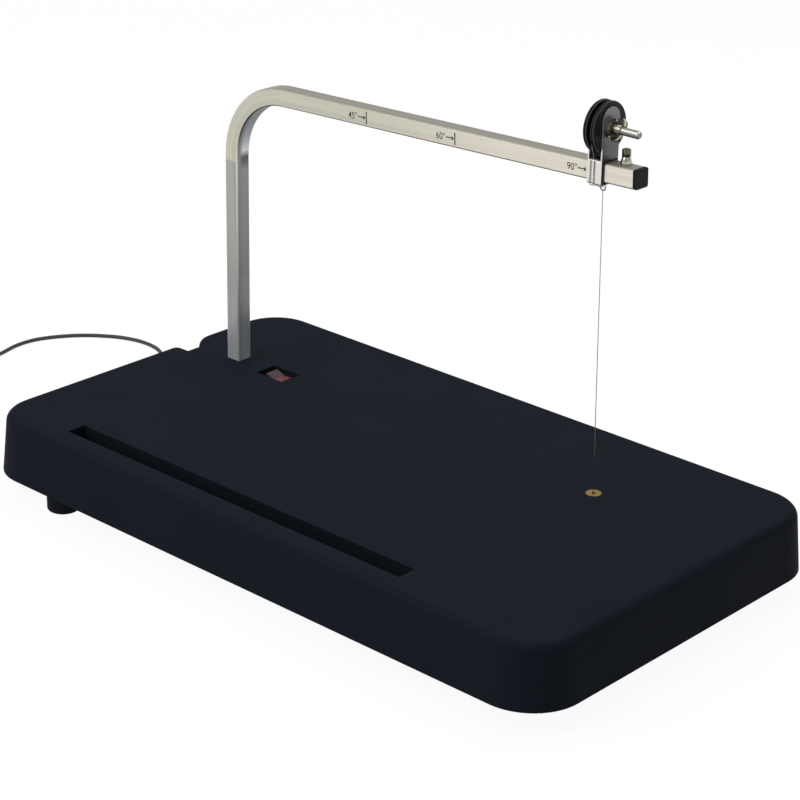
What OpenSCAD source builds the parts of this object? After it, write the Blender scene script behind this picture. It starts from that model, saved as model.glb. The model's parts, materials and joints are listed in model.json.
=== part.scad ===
// Bench hot wire cutter: a moulded table with a bent square arm, a sliding wire
// head with its tensioning spool, and a low voltage lead with a plug-in supply.
// Millimetres, +Z up. The origin is the middle of the table on the surface that
// the feet stand on. +X runs along the table towards the arm's free end, and the
// fence slot lies on the -Y side.

/* [Table] */
// Length of the table at its lower edge
base_l = 484; // [470:1:520]
// Width of the table at its lower edge
base_w = 277; // [270:1:310]
// Height of the moulding, without the feet
shell_h = 40.5; // [38:0.5:50]
// Wall thickness of the moulding's sides
base_wall = 3.2; // [2.6:0.1:3.6]
// Thickness of the table's top skin
top_skin = 3; // [2.5:0.1:4]
// Corner radius of the table in plan
corner_r = 35; // [25:1:45]
// Rounding of the table's upper edge
rim_r = 6; // [4:0.5:6.5]
// Draft of the moulded sides in degrees
base_draft = 5.7; // [3:0.1:6]
// Thickness of the moulded ribs
rib_t = 2; // [1.6:0.1:3]
// Depth of the ribs under the top skin
rib_h = 12; // [8:0.5:14]
// Spacing of the ribs
rib_pitch = 60; // [50:1:80]

/* [Fence slot] */
// Length of the slot for a parallel fence
slot_l = 294; // [200:1:300]
// Width of the slot
slot_w = 13.7; // [10:0.1:16]
// Depth of the slot
slot_d = 14; // [8:0.5:18]
// Middle of the slot along the table
slot_x = -27; // [-40:1:0]
// Middle of the slot across the table
slot_y = -112; // [-112:1:-100]

/* [Cable notch] */
// Where the notch's inner wall lies along the table, from the table's left end
notch_d = 19.5; // [18:0.5:24]
// Radius of the notch's front corner
notch_front_r = 10.5; // [10.5:0.5:12]
// Radius of the notch's rear corner
notch_rear_r = 19.5; // [17:0.5:19.5]
// Middle of the notch across the table, at its lower edge
notch_y = 42; // [38:1:46]
// Width of the notch at its lower edge
notch_w = 5; // [5:0.5:8]

/* [Feet and cover] */
// Height of the rubber feet below the moulding
foot_h = 15; // [10:0.5:20]
// Diameter of the rubber feet
foot_d = 22; // [18:1:26]
// Distance of the feet from the table's ends
foot_in_x = 65; // [55:1:90]
// Distance of the left-hand feet from the table's long sides
foot_in_y = 16; // [15:0.5:24]
// Distance of the right-hand feet from the table's long sides
right_foot_in_y = 42; // [38:0.5:50]
// Thickness of the cover under the table
cover_t = 2.5; // [2:0.1:3]
// How far the cover sits inside the lower edge
cover_in = 1; // [0.5:0.1:2]
// Width of the lip that hides the cover's edge
lip_t = 1.8; // [1.4:0.1:2]
// Distance between the cover screws along the table
cover_screw_x = 160; // [120:1:170]
// Distance between the cover screws across the table
cover_screw_y = 140; // [100:1:150]
// Diameter of the self-tapping screws
tap_screw_d = 3; // [2.5:0.1:3.5]

/* [Arm] */
// Size of the arm's square tube
tube = 12; // [10:0.5:15]
// Wall of the tube
tube_wall = 1.2; // [1:0.1:1.5]
// Outer corner radius of the tube
tube_r = 1.5; // [1:0.1:2]
// Radius of the bend along the tube's middle line
bend_r = 50; // [40:1:60]
// Height of the middle of the bend, from the ground
bend_z = 204.4; // [180:0.1:230]
// Rise of the arm towards its free end in degrees
arm_rise = 2.1; // [0:0.1:3]
// Length of the arm from the bend to the open end
arm_l = 290.8; // [270:0.1:296]
// Distance of the post's middle from the table's left end
post_in = 52.8; // [50:0.1:57]
// Place of the arm across the table
arm_y = 49.8; // [48:0.1:52]
// Clearance between the tube and its socket
socket_gap = 0.15; // [0.1:0.05:0.3]
// Wall of the moulded socket
socket_wall = 3.2; // [2.5:0.1:4]
// Thickness of the end cap's outer plate
cap_t = 2.2; // [1.5:0.1:3]
// Length of the end cap's plug
cap_plug_l = 3; // [2:0.5:3.5]
// Distance of the stop screw from the arm's open end
stop_in = 11.3; // [9:0.1:12]
// Distance of the stop screw from the inside of the tube's rear wall
stop_wall = 2.4; // [2.4:0.1:4.8]
// Nominal diameter of the stop screw
stop_d = 3; // [2.5:0.1:3]
// Height of the conical seat under the stop screw's nut
stop_seat_h = 4.4; // [2:0.1:5]
// Height of the stop screw's nut
stop_nut_h = 4.6; // [3:0.1:5]

/* [Wire head] */
// Distance of the sleeve's left end from the arm's open end, at the 90 mark
head_in = 32.4; // [32:0.1:60]
// Length of the sleeve along the arm
sleeve_l = 10.6; // [10:0.1:14]
// Thickness of the sleeve's sheet metal
sheet = 0.9; // [0.8:0.1:1.2]
// Thickness of the plastic liner
liner_t = 0.5; // [0.4:0.1:0.8]
// Clearance between the liner and the arm
slide_gap = 0.3; // [0.3:0.05:0.4]
// How far the liner shows past the sleeve
liner_out = 0.8; // [0.5:0.1:1.4]
// Height of the ears over the tube's top face
ear_h = 33.3; // [30:0.1:36]
// Height of the spool's axis over the tube's top face
spool_up = 20.4; // [20:0.1:22]
// Diameter of the spool
spool_d = 32; // [28:0.5:33]
// Thickness of each flange of the spool
flange_t = 2.9; // [2.5:0.1:3.2]
// Diameter of the bottom of the spool's groove
hub_d = 21; // [18:0.5:23]
// Clearance between the spool and each ear
spool_gap = 0.3; // [0.2:0.05:0.4]
// Nominal diameter of the head's bolt
bolt_d = 5; // [4.5:0.1:5.5]
// Length of the head's bolt under its head
bolt_l = 31.5; // [29:0.1:34]
// Radial clearance of what turns on the bolt
turn_gap = 0.05; // [0.03:0.01:0.08]

/* [Wire] */
// Diameter of the cutting wire
wire_d = 0.5; // [0.3:0.05:0.6]
// Diameter of the round loop that the wire hangs from, along its middle line
eye_d = 3.8; // [3:0.1:4]
// Thickness of that loop
eye_t = 1; // [0.8:0.1:1.2]
// How far its hole in the table stands past the loop
hole_past = 5.3; // [0:0.1:8]

/* [Switch] */
// Distance of the switch's middle from the post's middle
switch_out = 41.9; // [39:0.1:49]
// Middle of the switch across the table
switch_y = 47.3; // [44:0.1:52]
// Length of the well round the switch
well_l = 25; // [24:0.5:30]
// Width of the well round the switch
well_w = 17.6; // [17:0.1:22]
// Depth of the well
well_d = 5.5; // [5:0.1:7]
// Tilt of the rocker to each side in degrees
rocker_tilt = 9; // [6:0.5:10]

/* [Lead] */
// Diameter of the low voltage lead
lead_d = 3; // [2.6:0.1:3.4]

/* [Hidden] */
$fn = 64;

touch = 0.01;       // overlap of cutting tools past a face
far = 400;          // longer than anything that is cut
slope = tan(base_draft);

// Seams between stretches of one surface lie on whole thousandths
function snap(v) = round(v * 1000) / 1000;

// Table levels
shell_z = foot_h;                       // lower edge of the moulding
table_z = shell_z + shell_h;            // the work surface
skin_z = table_z - top_skin;            // underside of the top skin
cover_z = shell_z + cover_in;           // underside of the cover
ledge_z = cover_z + cover_t;            // what the cover seats against
ledge_in = snap(lip_t + (ledge_z - shell_z) * slope);      // outline of the rebate
hollow_in = snap(base_wall + (ledge_z - shell_z) * slope); // outline of the hollow
boss_r = tap_screw_d / 2 + 2.8;
screw_fit = 0.05;                       // radial room of a screw in its hole
foot_bite = 11;                         // how far the feet's screws go into their bosses
cover_bite = 9;                         // and the cover's screws

// Notch: centres of its two rounded corners
left = -base_l / 2;
post_x = left + post_in;
switch_x = post_x + switch_out;
notch_x = left + notch_d;
front_c = [left + notch_front_r, notch_y - notch_w / 2 - notch_front_r];
rear_c = [left + notch_rear_r, notch_y + notch_w / 2 + notch_rear_r];

// Places
foot_at = [for (sx = [-1, 1], sy = [-1, 1])
    [sx * (base_l / 2 - foot_in_x),
    sy * (base_w / 2 - (sx < 0 ? foot_in_y : right_foot_in_y))]];
cover_screw_at = [for (sx = [-1, 1], sy = [-1, 1])
    [sx * cover_screw_x / 2, sy * cover_screw_y / 2]];
screw_at = concat(foot_at, cover_screw_at);

// Socket of the post
hole = tube + 2 * socket_gap;
socket = hole + 2 * socket_wall;
socket_floor = 2.5;
post_foot = ledge_z + 0.5 + socket_floor;
clamp_z = (post_foot + skin_z) / 2;
clamp_d = 4;

tube_in = tube - 2 * tube_wall;

// Points on the arm: u along it from the bend, w up from its middle line
function arm_point(u, w) =
    [post_x + bend_r + u * cos(arm_rise) - (bend_r + w) * sin(arm_rise),
    bend_z + u * sin(arm_rise) + (bend_r + w) * cos(arm_rise)];

// The head hangs plumb on the rising arm
liner_in = tube + 2 * slide_gap;
sleeve_in = liner_in + 2 * liner_t;
sleeve_out = sleeve_in + 2 * sheet;
stop_at = arm_l - stop_in;              // stop screw, from the bend
stop_y = tube_in / 2 - stop_wall;
stop_r = stop_d / 2;
head_at = arm_l - head_in;              // left end of the sleeve
head_x = snap(arm_point(head_at, 0)[0]);
head_z = snap(arm_point(head_at + sleeve_l / 2, 0)[1]);
ear_r = sleeve_out / 2;
ear_top = tube / 2 + ear_h;
axis_w = tube / 2 + spool_up;
spool_l = sleeve_l - 2 * sheet - 2 * spool_gap;
groove_w = spool_l - 2 * flange_t;
bolt_r = bolt_d / 2;
washer_t = 1;
spring_t = 1.3;
nut_at = sleeve_l + washer_t + spring_t;
hex_af = 1.6 * bolt_d;
eye_u = sleeve_l - 4.1;
eye_w = -sleeve_out / 2 - eye_d / 2 - eye_t / 2 - 0.4;
hole_x = snap(head_x + eye_u + hole_past);

// Lower end of the wire
bush_flange = 0.8;
bush_l = 7;
bush_r = 3;
term_l = 20;
term_w = 8;
term_h = 9;
term_in = 4;        // the wire's hole from the terminal's left end
term_room = 3;      // the ribs stop this far from it
term_screw = 16;    // its fixing screw, from that end
term_top = skin_z - 6;
wire_low = term_top - term_h / 2 - 2;
wire_run = [head_x + eye_u - hole_x, head_z + eye_w - eye_d / 2 - eye_t / 2 - wire_low];

// Switch
well_floor = table_z - well_d;
well_wall = 2.4;
bezel = [21, 15, 2];
body_size = [18.8, 12.8, 16];
rocker_r = 8.2;
rocker_w = 10.4;
pivot_z = well_floor + bezel[2] - 1.5;
pivot_r = 1;
tab = [0.8, 4.8, 8];
tab_pitch = 6;

// Lead: where it leaves the notch's inner wall, and its gland
exit_up = 13;
exit_z = shell_z + exit_up;
gland_r = 3.2;
gland_out = 9;
lead_r = lead_d / 2;
// The lead's route from the notch's inner wall to its coil, chosen by hand
route = [
    [-gland_out, 0, exit_z], [-15.5, 0, 27.6], [-24.5, 0.5, 25],
    [-35.5, 3, 19], [-45.5, 7, 12], [-56.5, 13, 5.5], [-68.5, 22, 2.2],
    [-81.5, 34, lead_r], [-95.5, 49, lead_r], [-110.5, 62, lead_r],
    [-124.5, 67, lead_r], [-140.5, 67, lead_r], [-156.5, 62, lead_r],
    [-170.5, 53, lead_r], [-182.5, 42, lead_r], [-192.5, 28, lead_r],
    [-199.5, 12, lead_r], [-200.5, -5, lead_r], [-196.5, -22, lead_r],
    [-193.5, -38, lead_r], [-195, -52, 1.7], [-198.3, -64, 2.1]];
tie_t = 0.6;            // the coil lies on its tie
coil_at = [-179.5, -74];        // its middle, from the notch
coil_turn_r = 15.5;     // middle of the turns
coil_across = 3;        // turns side by side
coil_high = 4;          // turns on each other
coil_half = coil_across * lead_d / 2;
coil_top = tie_t + coil_high * lead_d;
// Short tail from the coil's upper turn to the plug-in supply beside it
adapter_at = [-150.5, -127];
adapter_size = [60, 40, 30];
relief_l = 12;
tail = [
    [-198.7, -83.5, 8], [-200.1, -90, 5.2], [-202.1, -97, 2.6], [-204.5, -106, lead_r],
    [-206.5, -114, 2.8], [-206.1, -121, 7], [-202.5, -125.6, 12], [-197, -127, 15],
    [adapter_at[0] - adapter_size[0] / 2 - relief_l, adapter_at[1], adapter_size[2] / 2]];

// ---------- functions ----------

function unit(v) = v / norm(v);
// A smooth curve through hand-chosen points: each span is split into steps
function span_point(a, b, c, d, t) =
    0.5 * ((2 * b) + (c - a) * t + (2 * a - 5 * b + 4 * c - d) * t * t
    + (3 * b - a - 3 * c + d) * t * t * t);
function smooth_path(p, steps) = let (n = len(p)) concat(
    [for (i = [0 : n - 2], k = [0 : steps - 1])
        span_point(p[max(i - 1, 0)], p[i], p[i + 1], p[min(i + 2, n - 1)], k / steps)],
    [p[n - 1]]);
function tangent(p, i) = unit(p[min(i + 1, len(p) - 1)] - p[max(i - 1, 0)]);

// ---------- shapes used more than once ----------

// Round tube swept along points; side_hint is a direction that it never follows
module swept(path, r, sides = 8, side_hint = [0, 0, 1]) {
    n = len(path);
    rings = [for (i = [0 : n - 1])
        let (t = tangent(path, i), s = unit(cross(t, side_hint)), u = cross(s, t))
        for (k = [0 : sides - 1])
            path[i] + r * (cos(360 * k / sides) * s + sin(360 * k / sides) * u)];
    walls = [for (i = [0 : n - 2], k = [0 : sides - 1])
        let (a = i * sides + k, b = i * sides + (k + 1) % sides)
        [a, b, b + sides, a + sides]];
    ends = [[for (k = [sides - 1 : -1 : 0]) k],
            [for (k = [0 : sides - 1]) (n - 1) * sides + k]];
    polyhedron(points = rings, faces = concat(walls, ends), convexity = 6);
}

module round_square(size, r) {
    square([size - 2 * r, size], center = true);
    square([size, size - 2 * r], center = true);
    for (sx = [-1, 1], sy = [-1, 1])
        translate([sx, sy] * (size / 2 - r)) circle(r);
}

// Extrudes a shape drawn in Y and Z along +X
module along_x(l) {
    rotate([90, 0, 90]) linear_extrude(l) children();
}

// Section of a drafted wall with a rounded upper edge, from a middle line out
module side_section(half, h, rim) {
    zc = h - rim;
    xc = half - snap(zc * slope + rim / cos(base_draft));
    polygon([[0, 0], [half, 0],
        [xc + snap(rim * cos(base_draft)), zc + snap(rim * sin(base_draft))],
        [xc, zc], [xc, h], [0, h]]);
    translate([xc, zc]) circle(rim);
}

// Quarter of a drafted, rounded corner, standing on its centre
module corner_quarter(r, h, rim, from) {
    rotate([0, 0, from]) rotate_extrude(angle = 90) intersection() {
        side_section(r, h, rim);
        square([r, h]);
    }
}

// Straight stretch of drafted wall: runs along +X, faces -Y
module wall_run(l, r, h, rim) {
    rotate([90, 0, 90]) linear_extrude(l) mirror([1, 0]) intersection() {
        side_section(r, h, rim);
        square([r, h]);
    }
}

// The table's form, moved inwards by ins all round
module table_form(ins, h, rim) {
    hl = base_l / 2 - ins;
    hw = base_w / 2 - ins;
    r = corner_r - ins;
    notch_in = notch_x + ins;
    difference() {
        union() {
            translate([-(hl - r), 0, 0]) along_x(2 * (hl - r)) {
                side_section(hw, h, rim);
                mirror([1, 0]) side_section(hw, h, rim);
            }
            for (s = [0, 1]) mirror([s, 0, 0]) {
                translate([hl - r, -(hw - r), 0]) rotate([0, 0, 90])
                    wall_run(2 * (hw - r), r, h, rim);
                for (q = [0, 1]) mirror([0, q, 0])
                    translate([hl - r, hw - r, 0]) corner_quarter(r, h, rim, 0);
            }
        }
        translate([left - 1, front_c[1], -1])
            cube([notch_in - left + 1, rear_c[1] - front_c[1], h + 2]);
    }
    translate([front_c[0], front_c[1], 0]) {
        corner_quarter(notch_front_r - ins, h, rim, 90);
        mirror([0, 1, 0])
            wall_run(notch_in - front_c[0], notch_front_r - ins, h, rim);
    }
    translate([rear_c[0], rear_c[1], 0]) {
        corner_quarter(notch_rear_r - ins, h, rim, 180);
        if (notch_in > rear_c[0])
            wall_run(notch_in - rear_c[0], notch_rear_r - ins, h, rim);
    }
}

// Plan of the table's lower edge, moved inwards by ins
module table_plan(ins) {
    hl = base_l / 2 - ins;
    hw = base_w / 2 - ins;
    r = corner_r - ins;
    notch_in = notch_x + ins;
    difference() {
        union() {
            square([2 * (hl - r), 2 * hw], center = true);
            square([2 * hl, 2 * (hw - r)], center = true);
            for (sx = [-1, 1], sy = [-1, 1])
                translate([sx * (hl - r), sy * (hw - r)]) circle(r);
        }
        translate([left - 1, front_c[1]])
            square([notch_in - left + 1, rear_c[1] - front_c[1]]);
    }
    translate(front_c) {
        circle(notch_front_r - ins);
        square([notch_in - front_c[0], notch_front_r - ins]);
    }
    translate(rear_c) {
        circle(notch_rear_r - ins);
        translate([0, -(notch_rear_r - ins)])
            square([max(notch_in - rear_c[0], touch), notch_rear_r - ins]);
    }
}

module box_at(centre, size, z0, z1) {
    translate([centre[0] - size[0] / 2, centre[1] - size[1] / 2, z0])
        cube([size[0], size[1], z1 - z0]);
}

// Puts things in the bend's own directions, which the arm shares
module on_bend() {
    translate([post_x + bend_r, arm_y, bend_z]) rotate([0, -arm_rise, 0]) children();
}

// Puts things on the arm: u along it from the bend, then across, then up
module on_arm(u) {
    on_bend() translate([u, 0, bend_r]) children();
}

// Puts things on the plumb head: u from the sleeve's left end
module on_head(u) {
    translate([head_x + u, arm_y, head_z]) children();
}

// Things on the spool's axis
module on_spool_axis(u) {
    on_head(u) translate([0, 0, axis_w]) rotate([0, 90, 0]) children();
}

// Round-headed screw, head down, shank up from z = 0
module tap_screw(l) {
    head = 0.6 * tap_screw_d;
    cylinder(h = l, r = tap_screw_d / 2, $fn = 24);
    translate([0, 0, -head]) cylinder(h = head, r = tap_screw_d, $fn = 32);
}

// Wall of the square tube, thinned by ins on both faces
module tube_section(ins) {
    difference() {
        round_square(tube - 2 * ins, tube_r - ins);
        square(tube_in + 2 * ins, center = true);
    }
}

// Post, bend and arm in one piece of tube
module bent_tube() {
    // the post's end face lies just inside the bend's
    translate([post_x, arm_y, post_foot]) linear_extrude(bend_z - post_foot)
        tube_section(touch);
    // a quarter turn back from the arm, cut off level where the post ends
    difference() {
        on_bend() rotate([90, 0, 180]) rotate_extrude(angle = 90)
            translate([bend_r, 0]) tube_section(0);
        translate([post_x - tube, arm_y - tube, bend_z - tube])
            cube([2 * tube, 2 * tube, tube]);
    }
    on_arm(0) along_x(arm_l) tube_section(0);
}

// ---------- table ----------

module base_shell() {
    color("#1f2226") difference() {
        union() {
            difference() {
                translate([0, 0, shell_z]) table_form(0, shell_h, rim_r);
                // rebate for the cover, then the main hollow
                translate([0, 0, shell_z - 1]) linear_extrude(ledge_z - shell_z + 1)
                    table_plan(ledge_in);
                translate([0, 0, ledge_z - touch])
                    table_form(hollow_in, skin_z - ledge_z + touch, rim_r - base_wall);
            }
            base_ribs();
            box_at([slot_x, slot_y], [slot_l + 2 * well_wall, slot_w + 2 * well_wall],
                table_z - slot_d - well_wall, skin_z + 1);
            box_at([switch_x, switch_y], [well_l + 2 * well_wall, well_w + 2 * well_wall],
                well_floor - well_wall, skin_z + 1);
            post_socket();
            for (p = screw_at) translate([p[0], p[1], ledge_z])
                cylinder(h = skin_z + 1 - ledge_z, r = boss_r);
            // bosses of the bush and of the lower terminal
            translate([hole_x, arm_y, skin_z + 1 - 5]) cylinder(h = 5, r = bush_r + 3);
            translate([hole_x + term_screw - term_in, arm_y, term_top])
                cylinder(h = skin_z + 1 - term_top, r = boss_r);
            // seat of the gland
            translate([notch_x + touch, notch_y, exit_z]) rotate([0, 90, 0])
                cylinder(h = base_wall + 2, r = gland_r + 2.4);
        }
        box_at([slot_x, slot_y], [slot_l, slot_w], table_z - slot_d, table_z + 1);
        box_at([switch_x, switch_y], [well_l, well_w], well_floor, table_z + 1);
        box_at([switch_x, switch_y], [body_size[0] + 0.3, body_size[1] + 0.3],
            well_floor - far / 8, well_floor + 1);
        // way of the post and of its clamp bolt
        box_at([post_x, arm_y], [hole, hole], post_foot, table_z + 1);
        translate([post_x, arm_y, clamp_z]) rotate([90, 0, 0])
            cylinder(h = socket + 4, r = clamp_d / 2 + 0.1, center = true);
        // bush, with its flange flush in the table
        translate([hole_x, arm_y, table_z - bush_flange])
            cylinder(h = 2, r = bush_r + 2 + screw_fit);
        translate([hole_x, arm_y, skin_z - far / 8])
            cylinder(h = far / 4, r = bush_r + screw_fit);
        translate([hole_x + term_screw - term_in, arm_y, term_top - 1])
            cylinder(h = 7, r = tap_screw_d / 2 + screw_fit, $fn = 24);
        for (p = screw_at) translate([p[0], p[1], ledge_z - 1])
            cylinder(h = foot_bite + 2, r = tap_screw_d / 2 + screw_fit, $fn = 24);
        translate([notch_x - base_wall, notch_y, exit_z]) rotate([0, 90, 0])
            cylinder(h = 4 * base_wall, r = gland_r + screw_fit);
    }
}

// Ribs under the top skin, kept inside the hollow and clear of the lower terminal
module base_ribs() {
    difference() {
        intersection() {
            translate([0, 0, ledge_z]) table_form(base_wall / 2, shell_h - cover_in - cover_t
                - touch, rim_r);
            union() {
                for (x = [-3 : 3]) if (x != -2)
                    translate([x * rib_pitch - rib_t / 2, -base_w / 2, skin_z - rib_h])
                        cube([rib_t, base_w, rib_h + 1]);
                for (y = [-1, 0, 1.45])
                    translate([-base_l / 2, y * rib_pitch - rib_t / 2, skin_z - rib_h])
                        cube([base_l, rib_t, rib_h + 1]);
            }
        }
        box_at([hole_x - term_in + term_l / 2, arm_y],
            [term_l + 2 * term_room, term_w + 2 * term_room], ledge_z, term_top + 1);
    }
}

gusset = 14;
// Square socket for the post, with a gusset towards each end of the table
module post_socket() {
    translate([post_x, arm_y, 0]) {
        box_at([0, 0], [socket, socket], post_foot - socket_floor, skin_z + 1);
        for (a = [0, 180]) rotate([0, 0, a]) translate([socket / 2 - 1, rib_t / 2, 0])
            rotate([90, 0, 0]) linear_extrude(rib_t)
                polygon([[0, post_foot], [1, post_foot], [gusset, skin_z], [0, skin_z]]);
    }
}

module bottom_plate() {
    color("#26282b") difference() {
        translate([0, 0, cover_z]) linear_extrude(cover_t)
            table_plan(ledge_in + 0.4);
        for (p = screw_at) translate([p[0], p[1], 0])
            cylinder(h = far, r = tap_screw_d / 2 + 0.3, $fn = 24);
    }
}

foot_bore_r = tap_screw_d + 1;
foot_web = 6;
module feet() {
    for (p = foot_at) translate([p[0], p[1], 0]) color("#17181a")
        rotate_extrude() difference() {
            union() {
                translate([0, 2]) square([foot_d / 2, cover_z - 2]);
                square([foot_d / 2 - 2, 2]);
                translate([foot_d / 2 - 2, 2]) circle(2);
            }
            translate([-far, -1]) square([far, far]);
            translate([0, -1]) square([foot_bore_r, cover_z - foot_web + 1]);
            translate([0, -1]) square([tap_screw_d / 2 + 0.3, far]);
        }
}

module foot_screws() {
    for (p = foot_at) translate([p[0], p[1], cover_z - foot_web]) color("silver")
        tap_screw(foot_web + cover_t + foot_bite);
}

module plate_screws() {
    for (p = cover_screw_at) translate([p[0], p[1], cover_z]) color("silver")
        tap_screw(cover_t + cover_bite);
}

// ---------- arm ----------

module arm_tube() {
    color("#b9b6ae") difference() {
        bent_tube();
        translate([post_x, arm_y, clamp_z]) rotate([90, 0, 0])
            cylinder(h = 2 * tube, r = clamp_d / 2 + 0.1, center = true);
        on_arm(stop_at) translate([0, stop_y, 0]) cylinder(h = tube, r = stop_r + 0.1);
    }
}

module arm_end_cap() {
    color("#1b1c1e") on_arm(arm_l) {
        along_x(cap_t) round_square(tube, tube_r);
        translate([-cap_plug_l, 0, 0]) along_x(cap_plug_l + 0.5)
            square(tube_in - 0.2, center = true);
    }
}

module hexagon(af) {
    circle(d = af / cos(30), $fn = 6);
}

clamp_side = socket / 2;
clamp_head = 2.8;
clamp_af = 1.75 * clamp_d;
module arm_clamp_bolt() {
    color("silver") translate([post_x, arm_y, clamp_z]) rotate([-90, 0, 0]) {
        translate([0, 0, -clamp_side]) cylinder(h = socket + 5, r = clamp_d / 2);
        translate([0, 0, -clamp_side - clamp_head]) linear_extrude(clamp_head)
            hexagon(clamp_af);
    }
}

module arm_clamp_nut() {
    color("silver") translate([post_x, arm_y + clamp_side, clamp_z]) rotate([-90, 0, 0])
        linear_extrude(0.8 * clamp_d) difference() {
            hexagon(clamp_af);
            circle(clamp_d / 2 + turn_gap);
        }
}

module stop_screw() {
    color("silver") on_arm(stop_at) translate([0, stop_y, 0]) {
        translate([0, 0, tube_in / 2 - 2]) cylinder(h = 2, r = 1.5 * stop_r);
        translate([0, 0, tube_in / 2])
            cylinder(h = tube_wall + stop_seat_h + stop_nut_h + 0.4, r = stop_r);
    }
}

// Conical seat that spreads the nut's load on the tube
module stop_washer() {
    color("#b5a98c") on_arm(stop_at) translate([0, stop_y, tube / 2]) difference() {
        union() {
            cylinder(h = 0.8, r = 2.4 * stop_r);
            translate([0, 0, 0.8])
                cylinder(h = stop_seat_h - 0.8, r1 = 2.4 * stop_r, r2 = 1.7 * stop_r);
        }
        translate([0, 0, -1]) cylinder(h = stop_seat_h + 2, r = stop_r + 0.15);
    }
}

module stop_nut() {
    color("#b5a98c") on_arm(stop_at) translate([0, stop_y, tube / 2 + stop_seat_h])
        linear_extrude(stop_nut_h) difference() {
            rotate(20) hexagon(1.6 * stop_d);
            circle(stop_r + turn_gap);
        }
}

// ---------- lower end of the wire ----------

bush_bore_r = 1.2;
module table_bush() {
    color("#b08d57") translate([hole_x, arm_y, table_z]) rotate_extrude() difference() {
        union() {
            translate([0, -bush_flange]) square([bush_r + 2, bush_flange]);
            translate([0, -bush_l]) square([bush_r, bush_l]);
        }
        translate([0, -bush_l - 1]) square([bush_bore_r, bush_l + 2]);
    }
}

module lower_terminal() {
    color("#b08d57") difference() {
        translate([hole_x - term_in, arm_y - term_w / 2, term_top - term_h])
            cube([term_l, term_w, term_h]);
        translate([hole_x, arm_y, term_top - term_h - 1])
            cylinder(h = term_h + 2, r = wire_d / 2 + 0.3, $fn = 24);
        translate([hole_x + term_screw - term_in, arm_y, 0])
            cylinder(h = far, r = tap_screw_d / 2 + 0.2, $fn = 24);
        translate([hole_x - term_in - 1, arm_y, term_top - term_h / 2]) rotate([0, 90, 0])
            cylinder(h = term_in + 1, r = tap_screw_d / 2 + screw_fit, $fn = 24);
    }
}

module terminal_screws() {
    color("silver") {
        translate([hole_x + term_screw - term_in, arm_y, term_top - term_h])
            tap_screw(term_h + 5);
        translate([hole_x - term_in, arm_y, term_top - term_h / 2]) rotate([0, 90, 0])
            tap_screw(3.2);
    }
}

// ---------- switch ----------

module switch_body() {
    color("#141517") difference() {
        union() {
            box_at([switch_x, switch_y], bezel, well_floor, well_floor + bezel[2]);
            box_at([switch_x, switch_y], body_size, well_floor - body_size[2], well_floor);
        }
        translate([switch_x, switch_y, pivot_z]) {
            rotate([90, 0, 0]) cylinder(h = rocker_w + 0.6, r = rocker_r + 0.3, center = true);
            translate([-rocker_r - 0.3, -rocker_w / 2 - 0.3, 0])
                cube([2 * rocker_r + 0.6, rocker_w + 0.6, 10]);
            rotate([90, 0, 0]) cylinder(h = rocker_w + 2.2, r = pivot_r + turn_gap,
                center = true, $fn = 32);
        }
    }
}

module switch_terminals() {
    for (k = [-1, 0, 1]) color("silver")
        translate([switch_x + k * tab_pitch - tab[0] / 2, switch_y - tab[1] / 2,
            well_floor - body_size[2] - tab[2]])
            cube(tab);
}

// Rocker: a sector about its pivot with a shallow V across its top
module rocker() {
    color([0.7, 0.1, 0.1, 0.8]) translate([switch_x, switch_y, pivot_z])
        rotate([90, rocker_tilt, 0]) {
            translate([0, 0, -rocker_w / 2]) linear_extrude(rocker_w) intersection() {
                circle(rocker_r);
                polygon([[-9, -3], [9, -3], [9, 4.3], [0, 2.5], [-9, 4.3]]);
            }
            cylinder(h = rocker_w + 2, r = pivot_r, center = true, $fn = 32);
        }
}

// ---------- wire head ----------

module slider_bracket() {
    color("#c9c8c4") difference() {
        on_head(0) {
            along_x(sleeve_l) difference() {
                round_square(sleeve_out, sheet + 0.6);
                square(sleeve_in, center = true);
            }
            for (u = [0, sleeve_l - sheet]) translate([u, 0, 0]) along_x(sheet)
                difference() {
                    union() {
                        translate([-ear_r, sleeve_in / 2])
                            square([2 * ear_r, ear_top - ear_r - sleeve_in / 2]);
                        translate([0, ear_top - ear_r]) circle(ear_r);
                    }
                    translate([0, axis_w]) circle(bolt_r + 0.1);
                }
        }
        // window between the ears
        on_head(sheet + 0.6)
            translate([0, -sleeve_in / 2 + 1, sleeve_in / 2 - 0.5])
                cube([sleeve_l - 2 * sheet - 1.2, sleeve_in - 2, sheet + 1]);
    }
}

module slider_liner() {
    color("#18191b") on_head(0) along_x(sleeve_l + liner_out) difference() {
        square(sleeve_in, center = true);
        square(liner_in, center = true);
    }
}

rim_round = 1.2;
module spool() {
    color("#151618") on_spool_axis(sheet + spool_gap) rotate_extrude() difference() {
        union() {
            square([hub_d / 2, spool_l]);
            for (z = [0, spool_l - flange_t]) translate([0, z]) {
                square([spool_d / 2 - rim_round, flange_t]);
                translate([0, rim_round]) square([spool_d / 2, flange_t - 2 * rim_round]);
                for (k = [rim_round, flange_t - rim_round])
                    translate([spool_d / 2 - rim_round, k]) circle(rim_round);
            }
        }
        translate([-far, -1]) square([far, far]);
        translate([0, -1]) square([bolt_r + turn_gap, spool_l + 2]);
    }
}

winding_t = 1.4;
module wire_winding() {
    color("#9a8f7c") on_spool_axis(sheet + spool_gap + flange_t) rotate_extrude()
        translate([hub_d / 2, 0]) square([winding_t, groove_w]);
}

module spool_bolt() {
    color("silver") {
        on_spool_axis(-2.8) linear_extrude(2.8) hexagon(hex_af);
        on_spool_axis(0) cylinder(h = bolt_l, r = bolt_r);
    }
}

module flat_washer() {
    color("silver") on_spool_axis(sleeve_l) linear_extrude(washer_t) difference() {
        circle(2.4 * bolt_r);
        circle(bolt_r + 0.15);
    }
}

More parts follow.
